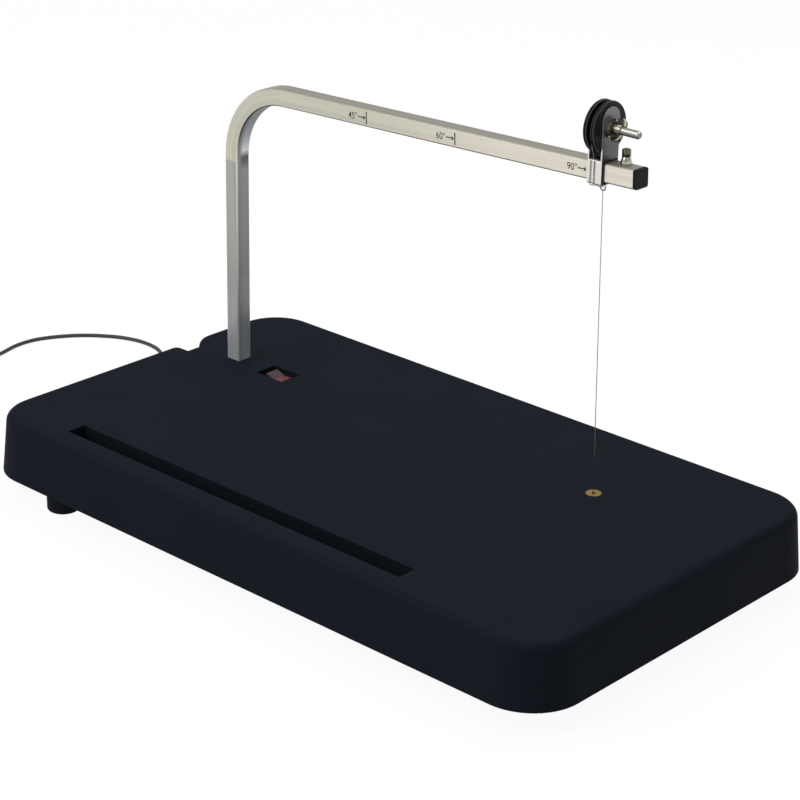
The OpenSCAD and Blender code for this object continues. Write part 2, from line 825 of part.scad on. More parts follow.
module spring_washer() {
    color("silver") on_spool_axis(sleeve_l + washer_t) linear_extrude(spring_t)
        difference() {
            circle(1.85 * bolt_r);
            circle(bolt_r + turn_gap);
            rotate(200) translate([0, -0.4]) square([far / 10, 0.8]);
        }
}

// Wing nut: a tapered hub between two round wings
wing_turn = -37;
wing_r = 4.2;
wing_out = 3.2;     // middle of each wing from the axis
wing_up = 2.9;      // and from the nut's face
wing_t = 1.9;
nut_h = 5.8;
module wing_nut() {
    color("#b8b4a8") on_spool_axis(nut_at) rotate([0, 0, wing_turn]) difference() {
        union() {
            cylinder(h = nut_h, r1 = 1.5 * bolt_r, r2 = 1.3 * bolt_r);
            for (s = [0, 1]) mirror([s, 0, 0]) translate([0, wing_t / 2, 0])
                rotate([90, 0, 0]) linear_extrude(wing_t)
                    translate([wing_out, wing_up]) circle(wing_r);
        }
        translate([0, 0, -1]) cylinder(h = far, r = bolt_r + turn_gap);
        translate([0, 0, -wing_r]) cylinder(h = wing_r, r = far / 10);
    }
}

module wire_eyelet() {
    color("silver") on_head(eye_u) {
        translate([0, 0, eye_w]) rotate([90, 0, 0]) rotate_extrude()
            translate([eye_d / 2, 0]) circle(eye_t / 2, $fn = 24);
        translate([0, 0, eye_w + eye_d / 2])
            cylinder(h = -sleeve_out / 2 - eye_w - eye_d / 2, r = eye_t / 2, $fn = 24);
    }
}

// Wire from the spool's groove, twice round the sleeve and down to the eyelet
wrap_o = sleeve_out / 2 + 0.45;
wrap_u = sheet + spool_gap + flange_t + groove_w / 2;
wrap_step = 2.7;
wrap_path = [
    [wrap_u, -(hub_d / 2 + winding_t + 0.4), axis_w], [wrap_u, -11.5, 18], [wrap_u, -9.2, 10.5],
    [wrap_u, -wrap_o, 6.5], [wrap_u, -wrap_o, 0], [wrap_u, -wrap_o, -6.8],
    [wrap_u - 0.2, -6.8, -wrap_o], [wrap_u - 0.6, 0, -wrap_o], [wrap_u - 1.2, 6.8, -wrap_o],
    [wrap_u - 1.4, wrap_o, -6.8], [wrap_u - 1.8, wrap_o, 0], [wrap_u - 2.1, wrap_o, 6.8],
    [wrap_u - 2.3, 6.8, wrap_o], [wrap_u - 2.5, 0, wrap_o], [wrap_u - wrap_step, -6.8, wrap_o],
    [wrap_u - wrap_step, -wrap_o, 6.8], [wrap_u - wrap_step, -wrap_o, 0],
    [wrap_u - wrap_step, -wrap_o, -6.8], [wrap_u - wrap_step + 0.5, -7, -wrap_o - 0.2],
    [wrap_u - 0.5, -4.5, -wrap_o - 0.6], [eye_u - 1.2, -1.8, eye_w + 0.3], [eye_u, 0.6, eye_w]];
module wire_wrap() {
    color("silver") on_head(0)
        swept(wrap_path, wire_d / 2, 6, [1, 0.05, 0.02]);
}

module cutting_wire() {
    color("#8c8c8a") translate([hole_x, arm_y, wire_low])
        rotate([0, atan2(wire_run[0], wire_run[1]), 0])
            cylinder(h = norm(wire_run), r = wire_d / 2, $fn = 24);
}

// ---------- lead and supply ----------

// Tapered strain relief in the notch's inner wall
module cable_gland() {
    color("#1a1b1d") translate([notch_x, notch_y, exit_z]) rotate([0, -90, 0])
        rotate_extrude() difference() {
            union() {
                polygon([[0, 0], [gland_r + 0.6, 0], [gland_r + 0.6, 1.4],
                    [lead_r + 0.7, gland_out], [0, gland_out]]);
                translate([0, -base_wall - 3]) square([gland_r, base_wall + 3]);
            }
            translate([-far, -far / 2]) square([far, far]);
        }
}

inner_r = 0.8;
gland_back = [notch_x + base_wall + 3, notch_y, exit_z];
post_low = [post_x, arm_y, ledge_z];
switch_low = [switch_x, switch_y, ledge_z];
tab_low = well_floor - body_size[2] - tab[2];
lead_y = arm_y - clamp_side - clamp_head;
// Bends of the inner leads, chosen by hand: round the post, to the switch, from the
// switch, at the terminal, and up to the clamp bolt
round_post = [[-16.8, -12.8, 7.5], [-9.8, -16.8, 5.5], [3.2, -18.3, 4.5], [17.2, -16.8, 4]];
to_switch = [[-12.7, -8.3, 3.5], [-tab_pitch - 1.5, -1.3, 3.8], [-tab_pitch, 0, 4.7]];
from_switch = [[0, 0, 4.9], [1.5, 0, 3.7], [27.3, -3.3, 3.5]];
along_table = [0.3, 0.55, 0.75];        // shares of the way to the terminal
along_bend = [0, -5, 3.5];
to_terminal = [[-29, -3.8, 4.5], [-12, -0.8, 7.5], [-2, 0, 13]];
to_bolt = [[-19.8, -10.3, 11.5], [-12.8, -15.3, 14.5], [-4.8, -18.3, 17.9], [0, -16.8, 18.4]];
module inner_leads() {
    hole_low = [hole_x, arm_y, ledge_z];
    color("#7a1f1f") swept(smooth_path(concat(
        [gland_back + [0, -0.9, 0], gland_back + [3, -1.2, 0]],
        [for (p = round_post) post_low + p], [for (p = to_switch) switch_low + p],
        [[switch_x - tab_pitch, switch_y, tab_low]]), 3), inner_r, 8, [0.3, 1, 0.2]);
    color("#7a1f1f") swept(smooth_path(concat(
        [[switch_x, switch_y, tab_low]], [for (p = from_switch) switch_low + p],
        [for (k = along_table) switch_low + along_bend + [k * (hole_x - switch_x), 0, 0]],
        [for (p = to_terminal) hole_low + p], [[hole_x + 3, arm_y, term_top - term_h]]), 3),
        inner_r, 8, [0.2, 1, 0.3]);
    color("#222222") swept(smooth_path(concat(
        [gland_back + [0, 0.9, 0], gland_back + [3, 0.6, 0.6]],
        [for (p = to_bolt) post_low + p], [[post_x, lead_y, clamp_z]]), 3),
        inner_r, 8, [0.3, 0.2, 1]);
}

// The lead and its supply lie where the notch is
module from_notch() {
    translate([notch_x, notch_y, 0]) children();
}

module power_cable() {
    color("#3a3b3d") from_notch() swept(smooth_path(route, 2), lead_r, 8);
}

module cable_coil() {
    color("#3a3b3d") from_notch() translate([coil_at[0], coil_at[1], tie_t]) rotate_extrude()
        translate([coil_turn_r - coil_half, 0])
            square([2 * coil_half, coil_top - tie_t]);
}

tie_w = 4;
tie_gap = 0.3;          // room for the turns' curve across the tie's width
module coil_tie() {
    color("#222222") from_notch() translate([coil_at[0] + coil_turn_r, coil_at[1], 0])
        rotate([90, 0, 0]) linear_extrude(tie_w, center = true) difference() {
            translate([-coil_half - tie_gap - tie_t, 0])
                square([2 * (coil_half + tie_gap + tie_t), coil_top + tie_t]);
            translate([-coil_half - tie_gap, tie_t])
                square([2 * (coil_half + tie_gap), coil_top - tie_t]);
        }
}

module cable_tail() {
    color("#3a3b3d") from_notch() swept(smooth_path(tail, 2), lead_r, 8);
}

// Plug-in supply: two moulded halves that meet at a fine seam
adapter_r = 5;
seam = 0.6;
module adapter_housing() {
    mid = adapter_size[2] / 2;
    color("#1c1d1f") from_notch() translate([adapter_at[0], adapter_at[1], 0]) {
        difference() {
            translate([0, 0, mid]) for (s = [0, 1]) mirror([0, 0, s]) {
                linear_extrude(mid - 1.5) adapter_plan(0);
                linear_extrude(mid) adapter_plan(1.5);
            }
            translate([0, 0, mid - seam / 2]) linear_extrude(seam) difference() {
                adapter_plan(-1);
                adapter_plan(seam);
            }
        }
        translate([-adapter_size[0] / 2, 0, mid]) rotate([0, -90, 0])
            cylinder(h = relief_l, r1 = 4, r2 = lead_r + 0.8);
    }
}

module adapter_plan(ins) {
    l = adapter_size[0] - 2 * ins;
    w = adapter_size[1] - 2 * ins;
    square([l - 2 * adapter_r, w], center = true);
    square([l, w - 2 * adapter_r], center = true);
    for (sx = [-1, 1], sy = [-1, 1])
        translate([sx * (l / 2 - adapter_r), sy * (w / 2 - adapter_r)]) circle(adapter_r);
}

pin_pitch = 19;
pin_l = 19;
pin_r = 2;
module adapter_pins() {
    for (s = [-1, 1]) color("silver") from_notch()
        translate([adapter_at[0] + adapter_size[0] / 2, adapter_at[1] + s * pin_pitch / 2,
            adapter_size[2] / 2]) rotate([0, 90, 0]) {
            cylinder(h = pin_l - pin_r, r = pin_r, $fn = 32);
            translate([0, 0, pin_l - pin_r]) sphere(pin_r, $fn = 32);
        }
}

base_shell();
bottom_plate();
feet();
foot_screws();
plate_screws();
arm_tube();
arm_end_cap();
arm_clamp_bolt();
arm_clamp_nut();
stop_screw();
stop_washer();
stop_nut();
table_bush();
lower_terminal();
terminal_screws();
switch_body();
switch_terminals();
rocker();
slider_bracket();
slider_liner();
spool();
wire_winding();
spool_bolt();
flat_washer();
spring_washer();
wing_nut();
wire_eyelet();
wire_wrap();
cutting_wire();
cable_gland();
inner_leads();
power_cable();
cable_coil();
cable_tail();
coil_tie();
adapter_housing();
adapter_pins();
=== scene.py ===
"""Looks of a bench hot wire cutter: moulded table, bent square arm, wire head and lead.

Everything is in metres, in the frame of the packed model: +X runs along the table
towards the arm's open end and the fence slot lies on the -Y side.
"""

import json
import math

import bmesh
import bpy
from mathutils import Matrix, Vector


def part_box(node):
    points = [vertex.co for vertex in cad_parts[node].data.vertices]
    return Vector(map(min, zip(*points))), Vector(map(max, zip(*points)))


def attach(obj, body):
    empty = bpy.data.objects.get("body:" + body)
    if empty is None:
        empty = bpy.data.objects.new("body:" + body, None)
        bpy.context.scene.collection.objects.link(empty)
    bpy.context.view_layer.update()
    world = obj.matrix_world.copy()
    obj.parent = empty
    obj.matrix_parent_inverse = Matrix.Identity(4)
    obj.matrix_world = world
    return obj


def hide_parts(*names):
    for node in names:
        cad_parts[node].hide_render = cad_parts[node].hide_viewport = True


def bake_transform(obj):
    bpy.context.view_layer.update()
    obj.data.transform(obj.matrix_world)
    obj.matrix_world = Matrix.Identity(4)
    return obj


bl_info = {
    "name": "Hot Wire Cutter",
    "version": (1, 0, 0),
    "blender": (4, 5, 0),
    "location": "3D View > Sidebar > Hot Wire",
    "description": "Finishes a bench hot wire cutter piece by piece",
    "category": "Object",
}

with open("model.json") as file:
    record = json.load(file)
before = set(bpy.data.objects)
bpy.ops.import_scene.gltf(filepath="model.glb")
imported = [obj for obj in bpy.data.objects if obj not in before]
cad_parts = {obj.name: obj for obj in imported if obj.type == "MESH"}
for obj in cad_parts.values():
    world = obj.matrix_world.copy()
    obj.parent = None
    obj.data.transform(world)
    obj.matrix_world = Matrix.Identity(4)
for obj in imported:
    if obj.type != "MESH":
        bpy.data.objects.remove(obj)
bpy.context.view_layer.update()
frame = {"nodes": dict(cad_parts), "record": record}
NODES = frame["nodes"]
MM = 0.001


# ---------- places taken from the packed model ----------

def middle(node):
    """Middle of a node's box."""
    low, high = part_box(node)
    return (low + high) / 2


def joint_axis(name):
    """Direction of a joint of the packed model."""
    for joint in frame["record"]["behaviour"]["joints"]:
        if joint["name"] == name:
            return Vector(joint["axis"]).normalized()
    raise ValueError("no joint " + name)


ARM_WAY = joint_axis("slider_slide")
ARM_UP = Vector((-ARM_WAY.z, 0, ARM_WAY.x))
ARM_Y = middle("arm_tube").y
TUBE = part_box("arm_end_cap")[1].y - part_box("arm_end_cap")[0].y         # width of the tube
BEND_R = 0.05                                  # from the bend's middle to the tube's
BEND_AT = Vector((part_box("arm_tube")[0].x + TUBE / 2 + BEND_R, ARM_Y, 0.2044))
SPOOL_AT = middle("spool")
BOLT_WAY = Vector((1, 0, 0))
BOLT_AT = Vector((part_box("slider_bracket")[0].x, ARM_Y, SPOOL_AT.z))   # under the bolt's head
NUT_AT = Vector((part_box("wing_nut")[0].x, ARM_Y, SPOOL_AT.z))          # on the wing nut's face


# ---------- colour and node helpers ----------

NOISE = (0.3, 0.7)      # most of a noise lies between these values
WHITE = (1.0, 1.0, 1.0)


def paint(code):
    """Linear colour of an sRGB hex value."""
    parts = [int(code[i:i + 2], 16) / 255 for i in (1, 3, 5)]
    return tuple(p / 12.92 if p <= 0.04045 else ((p + 0.055) / 1.055) ** 2.4 for p in parts)


def shaded(colour, factor):
    """A colour made darker or lighter by a factor."""
    return tuple(part * factor for part in colour)


def plug(tree, node, inputs):
    """Sets a node's inputs to values, or links them to a socket or a node's live output."""
    for name, value in inputs.items():
        socket = node.inputs[name]
        if isinstance(value, bpy.types.Node):
            value = next(output for output in value.outputs if output.enabled)
        if isinstance(value, bpy.types.NodeSocket):
            tree.links.new(value, socket)
        elif socket.type == "RGBA":
            socket.default_value = (*value, 1.0)
        else:
            socket.default_value = value


def add_node(tree, kind, inputs=None, **settings):
    """Adds a node, sets it up and plugs its inputs."""
    made = tree.nodes.new(kind)
    for name, value in settings.items():
        setattr(made, name, value)
    plug(tree, made, inputs or {})
    return made


def new_material(name, **constants):
    """A material with constants on its shader; returns it with its tree and shader."""
    made = bpy.data.materials.new(name)
    made.use_nodes = True
    shader = made.node_tree.nodes["Principled BSDF"]
    plug(made.node_tree, shader, {socket.replace("_", " "): value
                                  for socket, value in constants.items()})
    return made, made.node_tree, shader


def grain(tree, shader, size, depth, detail=3.0, stretch=(1, 1, 1)):
    """Bump from noise of a real size and depth in millimetres; returns the noise."""
    place = add_node(tree, "ShaderNodeTexCoord")
    shape = add_node(tree, "ShaderNodeMapping", {"Vector": place.outputs["Object"],
                                                 "Scale": stretch})
    noise = add_node(tree, "ShaderNodeTexNoise", {"Vector": shape, "Scale": 1 / (size * MM),
                                                  "Detail": detail})
    bump = add_node(tree, "ShaderNodeBump", {"Height": noise, "Distance": depth * MM})
    plug(tree, shader, {"Normal": bump})
    return noise


def slow_noise(tree, size):
    """Noise of a real size in millimetres, for handling marks and colour drift."""
    place = add_node(tree, "ShaderNodeTexCoord")
    return add_node(tree, "ShaderNodeTexNoise", {"Vector": place.outputs["Object"],
                                                 "Scale": 1 / (size * MM)})


def spread(tree, noise, low, high):
    """A noise spread between two numbers."""
    return add_node(tree, "ShaderNodeMapRange", {
        "Value": noise, "From Min": NOISE[0], "From Max": NOISE[1],
        "To Min": low, "To Max": high})


def layered(tree, base, *coats):
    """Lays colours over a base, each where a value runs from its start to its end."""
    for value, start, end, coat in coats:
        share = add_node(tree, "ShaderNodeMapRange", {"Value": value, "From Min": start,
                                                      "From Max": end})
        base = add_node(tree, "ShaderNodeMix", {"Factor": share, "A": base, "B": coat},
                        data_type="RGBA")
    return base


def round_edge(tree, place, axis):
    """High where a face square to an axis rounds over into its neighbours."""
    parts = []
    for mask in (axis, tuple(1 - a for a in axis)):
        kept = add_node(tree, "ShaderNodeVectorMath", {0: place.outputs["Normal"], 1: mask},
                        operation="MULTIPLY")
        parts.append(add_node(tree, "ShaderNodeVectorMath", {0: kept}, operation="LENGTH"))
    return add_node(tree, "ShaderNodeMath", {0: parts[0], 1: parts[1]}, operation="MINIMUM")


# ---------- finishes: each function makes one material ----------

MATERIALS = {}


def material(finish):
    """A finish's material, made once."""
    if finish not in MATERIALS:
        MATERIALS[finish] = finish()
    return MATERIALS[finish]


def moulded(name, code, rough, ior, size, depth, **constants):
    """A moulded plastic: the tool's grain breaks its colour a little."""
    made, tree, shader = new_material(name, Roughness=rough, IOR=ior, **constants)
    fine = grain(tree, shader, size, depth)
    plug(tree, shader, {"Base Color": layered(tree, shaded(paint(code), 0.86), (
        fine, *NOISE, shaded(paint(code), 1.14)))})
    return made


def table_abs():
    """ABS, injection moulded in a spark-eroded tool: near black with a dull, broken sheen."""
    look = bpy.context.scene.hot_wire_table
    made, tree, shader = new_material("abs moulded black", IOR=1.5, Specular_IOR_Level=0.03)
    fine = grain(tree, shader, look.grain / MM, 0.06, detail=2.0)
    plug(tree, shader, {
        "Base Color": layered(tree, shaded(look.colour, 0.82), (fine, *NOISE, look.colour)),
        "Roughness": spread(tree, slow_noise(tree, 50), 0.66, 0.74)})
    return made


def cover_abs():
    """ABS sheet, moulded, the underside of the table: dull, slightly grey."""
    return moulded("abs cover black", "#26282b", 0.6, 1.5, 1.0, 0.05)


def foot_rubber():
    """Natural rubber, moulded: matt black with a bloom."""
    made, tree, shader = new_material("rubber foot", Roughness=0.85, IOR=1.52,
                                      Specular_IOR_Level=0.15)
    grain(tree, shader, 0.6, 0.04)
    plug(tree, shader, {"Base Color": layered(tree, paint("#0b0d11"), (
        slow_noise(tree, 6), *NOISE, paint("#15181d")))})
    return made


def brushed_tube():
    """Stainless steel tube, brushed along its length, round the bend too.

    The lines are about 0.1 mm apart; they are drawn 0.5 mm apart so that they show.
    """
    look = bpy.context.scene.hot_wire_metal
    made, tree, shader = new_material("stainless tube brushed", Metallic=0.5,
                                      Anisotropic=0.8)
    place = add_node(tree, "ShaderNodeTexCoord")
    centred = add_node(tree, "ShaderNodeMapping", {"Vector": place.outputs["Object"],
                                                   "Location": -BEND_AT})
    turned = add_node(tree, "ShaderNodeMapping", {
        "Vector": centred, "Rotation": (0, math.atan2(ARM_WAY.z, ARM_WAY.x), 0)})
    level = add_node(tree, "ShaderNodeSeparateXYZ", {"Vector": turned}).outputs
    # how far out from the bend's middle: it stays the same along post, bend and arm
    back = add_node(tree, "ShaderNodeMath", {0: level["X"], 1: 0.0}, operation="MINIMUM")
    up = add_node(tree, "ShaderNodeMath", {0: level["Z"], 1: 0.0}, operation="MAXIMUM")
    span = add_node(tree, "ShaderNodeCombineXYZ", {"X": back, "Z": up})
    depth = add_node(tree, "ShaderNodeVectorMath", {0: span}, operation="LENGTH")
    along = add_node(tree, "ShaderNodeMath", {0: level["X"], 1: level["Z"]},
                     operation="SUBTRACT")
    # the noise is stretched along the tube, so that its grains become long lines
    drift = add_node(tree, "ShaderNodeMath", {0: along, 1: 0.012}, operation="MULTIPLY")
    lines_at = add_node(tree, "ShaderNodeCombineXYZ", {"X": depth, "Y": level["Y"],
                                                       "Z": drift})
    lines = add_node(tree, "ShaderNodeTexNoise", {
        "Vector": lines_at, "Scale": 1 / look.line_spacing, "Detail": 3.0, "Roughness": 0.6})
    bands = add_node(tree, "ShaderNodeTexNoise", {"Vector": lines_at,
                                                  "Scale": 1 / (5 * MM), "Detail": 1.0})
    streak = add_node(tree, "ShaderNodeMath", {0: lines, 1: bands}, operation="ADD")
    # brushed metal spreads its gloss across the lines
    flip = add_node(tree, "ShaderNodeMath", {0: back, 1: -1.0}, operation="MULTIPLY")
    way = add_node(tree, "ShaderNodeCombineXYZ", {"X": up, "Z": flip})
    surface = add_node(tree, "ShaderNodeNewGeometry")
    across = add_node(tree, "ShaderNodeVectorMath", {0: surface.outputs["Normal"], 1: way},
                      operation="CROSS_PRODUCT")
    bump = add_node(tree, "ShaderNodeBump", {"Height": lines, "Distance": 0.02 * MM,
                                             "Strength": 0.6})
    plug(tree, shader, {
        "Base Color": tube_colour(tree, look, place, centred, along, streak),
        "Roughness": spread(tree, lines, 0.36, 0.46), "Tangent": across, "Normal": bump})
    return made


def tube_colour(tree, look, place, centred, along, streak):
    """The tube's colours: warm arm, duller bend, and painted light and shade on top, post and
    corners.
    """
    arm, bend = look.tube_colour, look.bend_colour
    post, inner = look.post_shade_colour, look.side_shade_colour
    spot = add_node(tree, "ShaderNodeSeparateXYZ", {"Vector": centred}).outputs
    side = add_node(tree, "ShaderNodeSeparateXYZ", {"Vector": place.outputs["Normal"]}).outputs
    height = spot["Z"]

    def brushed(dark, bright):
        """A colour streaked by the brushing."""
        return layered(tree, dark, (streak, 0.7, 1.3, bright))

    fresh = brushed(shaded(arm, 0.82), arm)
    bent = brushed(shaded(bend, 0.76), bend)
    # painted shade: the top faces are painted much darker than the arm's front
    matt = brushed(shaded(arm, 0.34), shaded(arm, 0.48))
    # painted shade makes the straight post colder and darker than the arm, and painted light
    # makes it pale at its foot
    foot = (height, -85 * MM, -150 * MM)
    painted_post_shade = brushed(layered(tree, shaded(post, 0.8), (*foot, (0.8, 0.82, 0.85))),
                     layered(tree, post, (*foot, (0.95, 0.97, 1.0))))
    # painted light and shade inside the curve: bluish greys, a painted highlight just above the
    # crease where the post begins, painted shade in that crease, and painted light towards the
    # post's foot
    painted_bend_stops = ((-10, -4, "#717372"), (-4, -1, "#6a6b6a"), (-1, 3.8, "#fdfeff"),
               (3.8, 15.2, "#c6ccd3"), (15.2, 38, "#83888f"), (38, 50, "#75777a"))
    curve = layered(tree, inner, *((height, start * MM, end * MM, paint(code))
                                   for start, end, code in painted_bend_stops),
                    (*foot, (0.95, 0.98, 1.0)))
    # that side is painted as if hollowed a little: painted shade beside the front edge, painted
    # light behind
    painted_side_shade = layered(tree, shaded(inner, 0.9), (*foot, (0.8, 0.84, 0.88)),
                     (spot["Y"], -TUBE * 0.3, -TUBE * 0.05, curve))
    # painted highlight on the rounded corners, dimmer on the arm's upper corners, and painted
    # shade on the corners under the arm
    painted_corner_light = layered(tree, arm, (side["Z"], 0.1, 0.4, shaded(bend, 0.7)),
                   (side["Z"], -0.1, -0.3, paint("#6d6a62")))
    inside = add_node(tree, "ShaderNodeMath", {0: side["X"], 1: side["Z"]},
                      operation="SUBTRACT")
    return layered(tree, bent, (along, 20 * MM, 140 * MM, fresh),
                   (side["Z"], 0.6, 0.95, matt), (height, -2.9 * MM, -4.1 * MM, painted_post_shade),
                   (inside, 0.75, 0.95, painted_side_shade),
                   (round_edge(tree, place, (0, 1, 0)), 0.2, 0.5, painted_corner_light))


def cap_polythene():
    """Polythene, moulded: a dull black plug."""
    return moulded("polythene cap", "#17171a", 0.55, 1.51, 0.8, 0.03,
                   Specular_IOR_Level=0.12)


def plated(name, dark, bright, rough, pit=1.1):
    """A plated metal: bright on top, with painted shade on the sides that face down."""
    made, tree, shader = new_material(name, Metallic=1.0)
    clean = layered(tree, paint(dark), (grain(tree, shader, pit, 0.015), 0, 1,
                                        paint(bright)))
    # painted shade: a dark colour mixed in where the faces turn downwards
    painted_underside_shade = add_node(tree, "ShaderNodeMix", {"Factor": 0.85, "A": clean,
                                            "B": paint("#35332b")}, data_type="RGBA")
    place = add_node(tree, "ShaderNodeTexCoord")
    side = add_node(tree, "ShaderNodeSeparateXYZ", {"Vector": place.outputs["Normal"]})
    plug(tree, shader, {
        "Base Color": layered(tree, clean, (side.outputs["Z"], 0.5, -0.15, painted_underside_shade)),
        "Roughness": spread(tree, slow_noise(tree, 3), rough * 0.85, rough * 1.2)})
    return made


def bright_zinc():
    """Steel, zinc plated and clear passivated: bright screws, nuts and washers."""
    return plated("zinc plated steel", "#b9b8ad", "#efeee2", 0.16)


def yellow_zinc():
    """Steel, zinc plated and yellow passivated: the stop's dull, brownish nut and stud."""
    return plated("yellow passivated steel", "#6e6856", "#948d77", 0.26)


def nickel_cast():
    """Zinc alloy, die cast and nickel plated: the wing nut, with a soft orange peel."""
    return plated("nickel plated casting", "#75725f", "#b3af9a", 0.16, 1.6)


def tab_tin():
    """Brass, tin plated: the switch's pale tabs."""
    return plated("tinned brass", "#b9b19a", "#d6cfba", 0.35)


def pin_nickel():
    """Brass, nickel plated and barrel polished: the supply's bright pins."""
    return plated("nickel plated brass", "#c2bdb0", "#dedad0", 0.18)


def satin_sheet():
    """Stainless sheet, cut, folded and brushed across: the sleeve and its ears."""
    look = bpy.context.scene.hot_wire_metal
    made, tree, shader = new_material("stainless sheet satin", Metallic=0.7, Roughness=0.34)
    lines = grain(tree, shader, 0.5, 0.02, stretch=(1, 1, 0.06))
    bright = layered(tree, shaded(look.sheet_colour, 0.86), (lines, 0, 1, look.sheet_colour))
    # painted shade on the ears' flat faces, darker than the folded sleeve, with painted light
    # towards their tops
    place = add_node(tree, "ShaderNodeTexCoord")
    spot = add_node(tree, "ShaderNodeSeparateXYZ", {"Vector": place.outputs["Object"]})
    dull = layered(tree, look.ear_shade_colour, (spot.outputs["Z"], SPOOL_AT.z + MM,
                                           SPOOL_AT.z + 9 * MM,
                                           shaded(look.ear_shade_colour, 1.6)))
    way = add_node(tree, "ShaderNodeSeparateXYZ", {"Vector": place.outputs["Normal"]})
    side = add_node(tree, "ShaderNodeMath", {0: way.outputs["X"]}, operation="ABSOLUTE")
    plug(tree, shader, {"Base Color": layered(tree, bright, (side, 0.6, 0.95, dull))})
    return made


def spool_acetal():
    """Acetal, turned: black, half gloss, faint turning lines and a painted highlight on the
    rims.
    """
    made, tree, shader = new_material("acetal black", IOR=1.48, Specular_IOR_Level=0.14)
    place = add_node(tree, "ShaderNodeTexCoord")
    rim = round_edge(tree, place, (1, 0, 0))
    centred = add_node(tree, "ShaderNodeMapping", {"Vector": place.outputs["Object"],
                                                   "Location": -SPOOL_AT})
    flat = add_node(tree, "ShaderNodeVectorMath", {0: centred, 1: (0, 1, 1)},
                    operation="MULTIPLY")
    out = add_node(tree, "ShaderNodeVectorMath", {0: flat}, operation="LENGTH")
    lines = add_node(tree, "ShaderNodeTexNoise", {"W": out, "Scale": 1 / (0.7 * MM)},
                     noise_dimensions="1D")
    bump = add_node(tree, "ShaderNodeBump", {"Height": lines, "Distance": 0.03 * MM,
                                             "Strength": 0.5})
    plug(tree, shader, {
        # painted highlight on the flanges' rounded rims
        "Base Color": layered(tree, paint("#0d0e0f"), (rim, 0.52, 0.66, paint("#6f7173"))),
        "Roughness": spread(tree, lines, 0.28, 0.42), "Normal": bump})
    return made


def liner_polyamide():
    """Polyamide, moulded: the black liner between the sleeve and the arm."""
    return moulded("polyamide liner", "#141516", 0.5, 1.53, 0.6, 0.02)


def nichrome():
    """Nickel chrome resistance wire, drawn and oxidised by heat: warm grey."""
    look = bpy.context.scene.hot_wire_wire
    made, tree, shader = new_material("nichrome wire", Metallic=1.0, Roughness=0.35)
    plug(tree, shader, {"Base Color": layered(tree, shaded(look.colour, 0.7), (
        slow_noise(tree, 4), *NOISE, look.colour))})
    return made


def turned_brass():
    """Brass, turned: the bush in the table and the terminal under it, warm and bright."""
    made, tree, shader = new_material("brass turned", Metallic=1.0, Roughness=0.3)
    plug(tree, shader, {"Base Color": layered(tree, paint("#b08a48"), (
        grain(tree, shader, 0.9, 0.01), *NOISE, paint("#cfae6c")))})
    return made


def switch_polyamide():
    """Polyamide, moulded with a fine grain: the switch's black frame."""
    return moulded("polyamide switch frame", "#15171a", 0.42, 1.53, 0.5, 0.02)


def rocker_red():
    """Polycarbonate, moulded clear red: light goes a little way into it."""
    look = bpy.context.scene.hot_wire_switch
    made, tree, shader = new_material("polycarbonate red", IOR=1.585,
                                      Transmission_Weight=0.25, Subsurface_Weight=0.3,
                                      Subsurface_Scale=0.002,
                                      Subsurface_Radius=(1.0, 0.12, 0.1))
    # painted highlight: the left half is painted a paler grey, the right half keeps the clear
    # red
    place = add_node(tree, "ShaderNodeTexCoord")
    spot = add_node(tree, "ShaderNodeSeparateXYZ", {"Vector": place.outputs["Object"]})
    fold = middle("rocker").x
    plug(tree, shader, {
        "Base Color": layered(tree, look.painted_highlight_colour, (spot.outputs["X"], fold - MM,
                                                       fold + MM, look.rocker_colour)),
        "Roughness": spread(tree, slow_noise(tree, 4), 0.16, 0.3)})
    return made


def lead_pvc():
    """PVC, extruded: the lead's dark grey sheath, dull and faintly uneven."""
    look = bpy.context.scene.hot_wire_lead
    made, tree, shader = new_material("pvc lead sheath", Roughness=0.5, IOR=1.52)
    haze = grain(tree, shader, 1.2, 0.02)
    plug(tree, shader, {"Base Color": layered(tree, shaded(look.colour, 0.8),
                                              (haze, *NOISE, look.colour))})
    return made


def gland_pvc():
    """Soft PVC, moulded: the dull black strain relief and coil tie."""
    return moulded("pvc strain relief", "#1c1d1f", 0.6, 1.52, 0.8, 0.03)


def insulation_red():
    """PVC, extruded thin: the red leads inside the table."""
    return moulded("pvc insulation red", "#8e1c1c", 0.45, 1.52, 1.0, 0.02)


def supply_abs():
    """ABS with polycarbonate, moulded in a finely sparked tool: the matt black supply."""
    return moulded("abs supply black", "#1d1e20", 0.58, 1.53, 0.7, 0.07)


def mark_ink():
    """Dark brown ink, stamped: the angle marks on the arm, uneven in thickness."""
    look = bpy.context.scene.hot_wire_marks
    made, tree, shader = new_material("stamped ink", Roughness=0.6, IOR=1.5)
    plug(tree, shader, {"Base Color": layered(tree, look.colour, (
        slow_noise(tree, 0.9), *NOISE, shaded(look.colour, 1.8)))})
    return made


def floor_paper():
    """Matt paper: seen directly it is blown out to white and keeps a faint shadow."""
    look = bpy.context.scene.hot_wire_stage
    made, tree, shader = new_material("floor paper", Base_Color=look.floor_colour,
                                      Roughness=0.9, Specular_IOR_Level=0.1)
    path = add_node(tree, "ShaderNodeLightPath")
    white = add_node(tree, "ShaderNodeEmission", {"Color": WHITE, "Strength": 1.07})
    seen = add_node(tree, "ShaderNodeMath", {0: path.outputs["Is Camera Ray"],
                                             1: path.outputs["Is Glossy Ray"]},
                    operation="MAXIMUM")
    share = add_node(tree, "ShaderNodeMath", {0: seen, 1: look.floor_blown},
                     operation="MULTIPLY")
    mix = add_node(tree, "ShaderNodeMixShader", {0: share, 1: shader, 2: white})
    plug(tree, tree.nodes["Material Output"], {"Surface": mix})
    return made


def finish_nodes(finish, *names):
    """Gives CAD nodes one finish; their shape stays as it is."""
    for name in names:
        data = NODES[name].data
        data.materials.clear()
        data.materials.append(material(finish))


# ---------- making pieces ----------

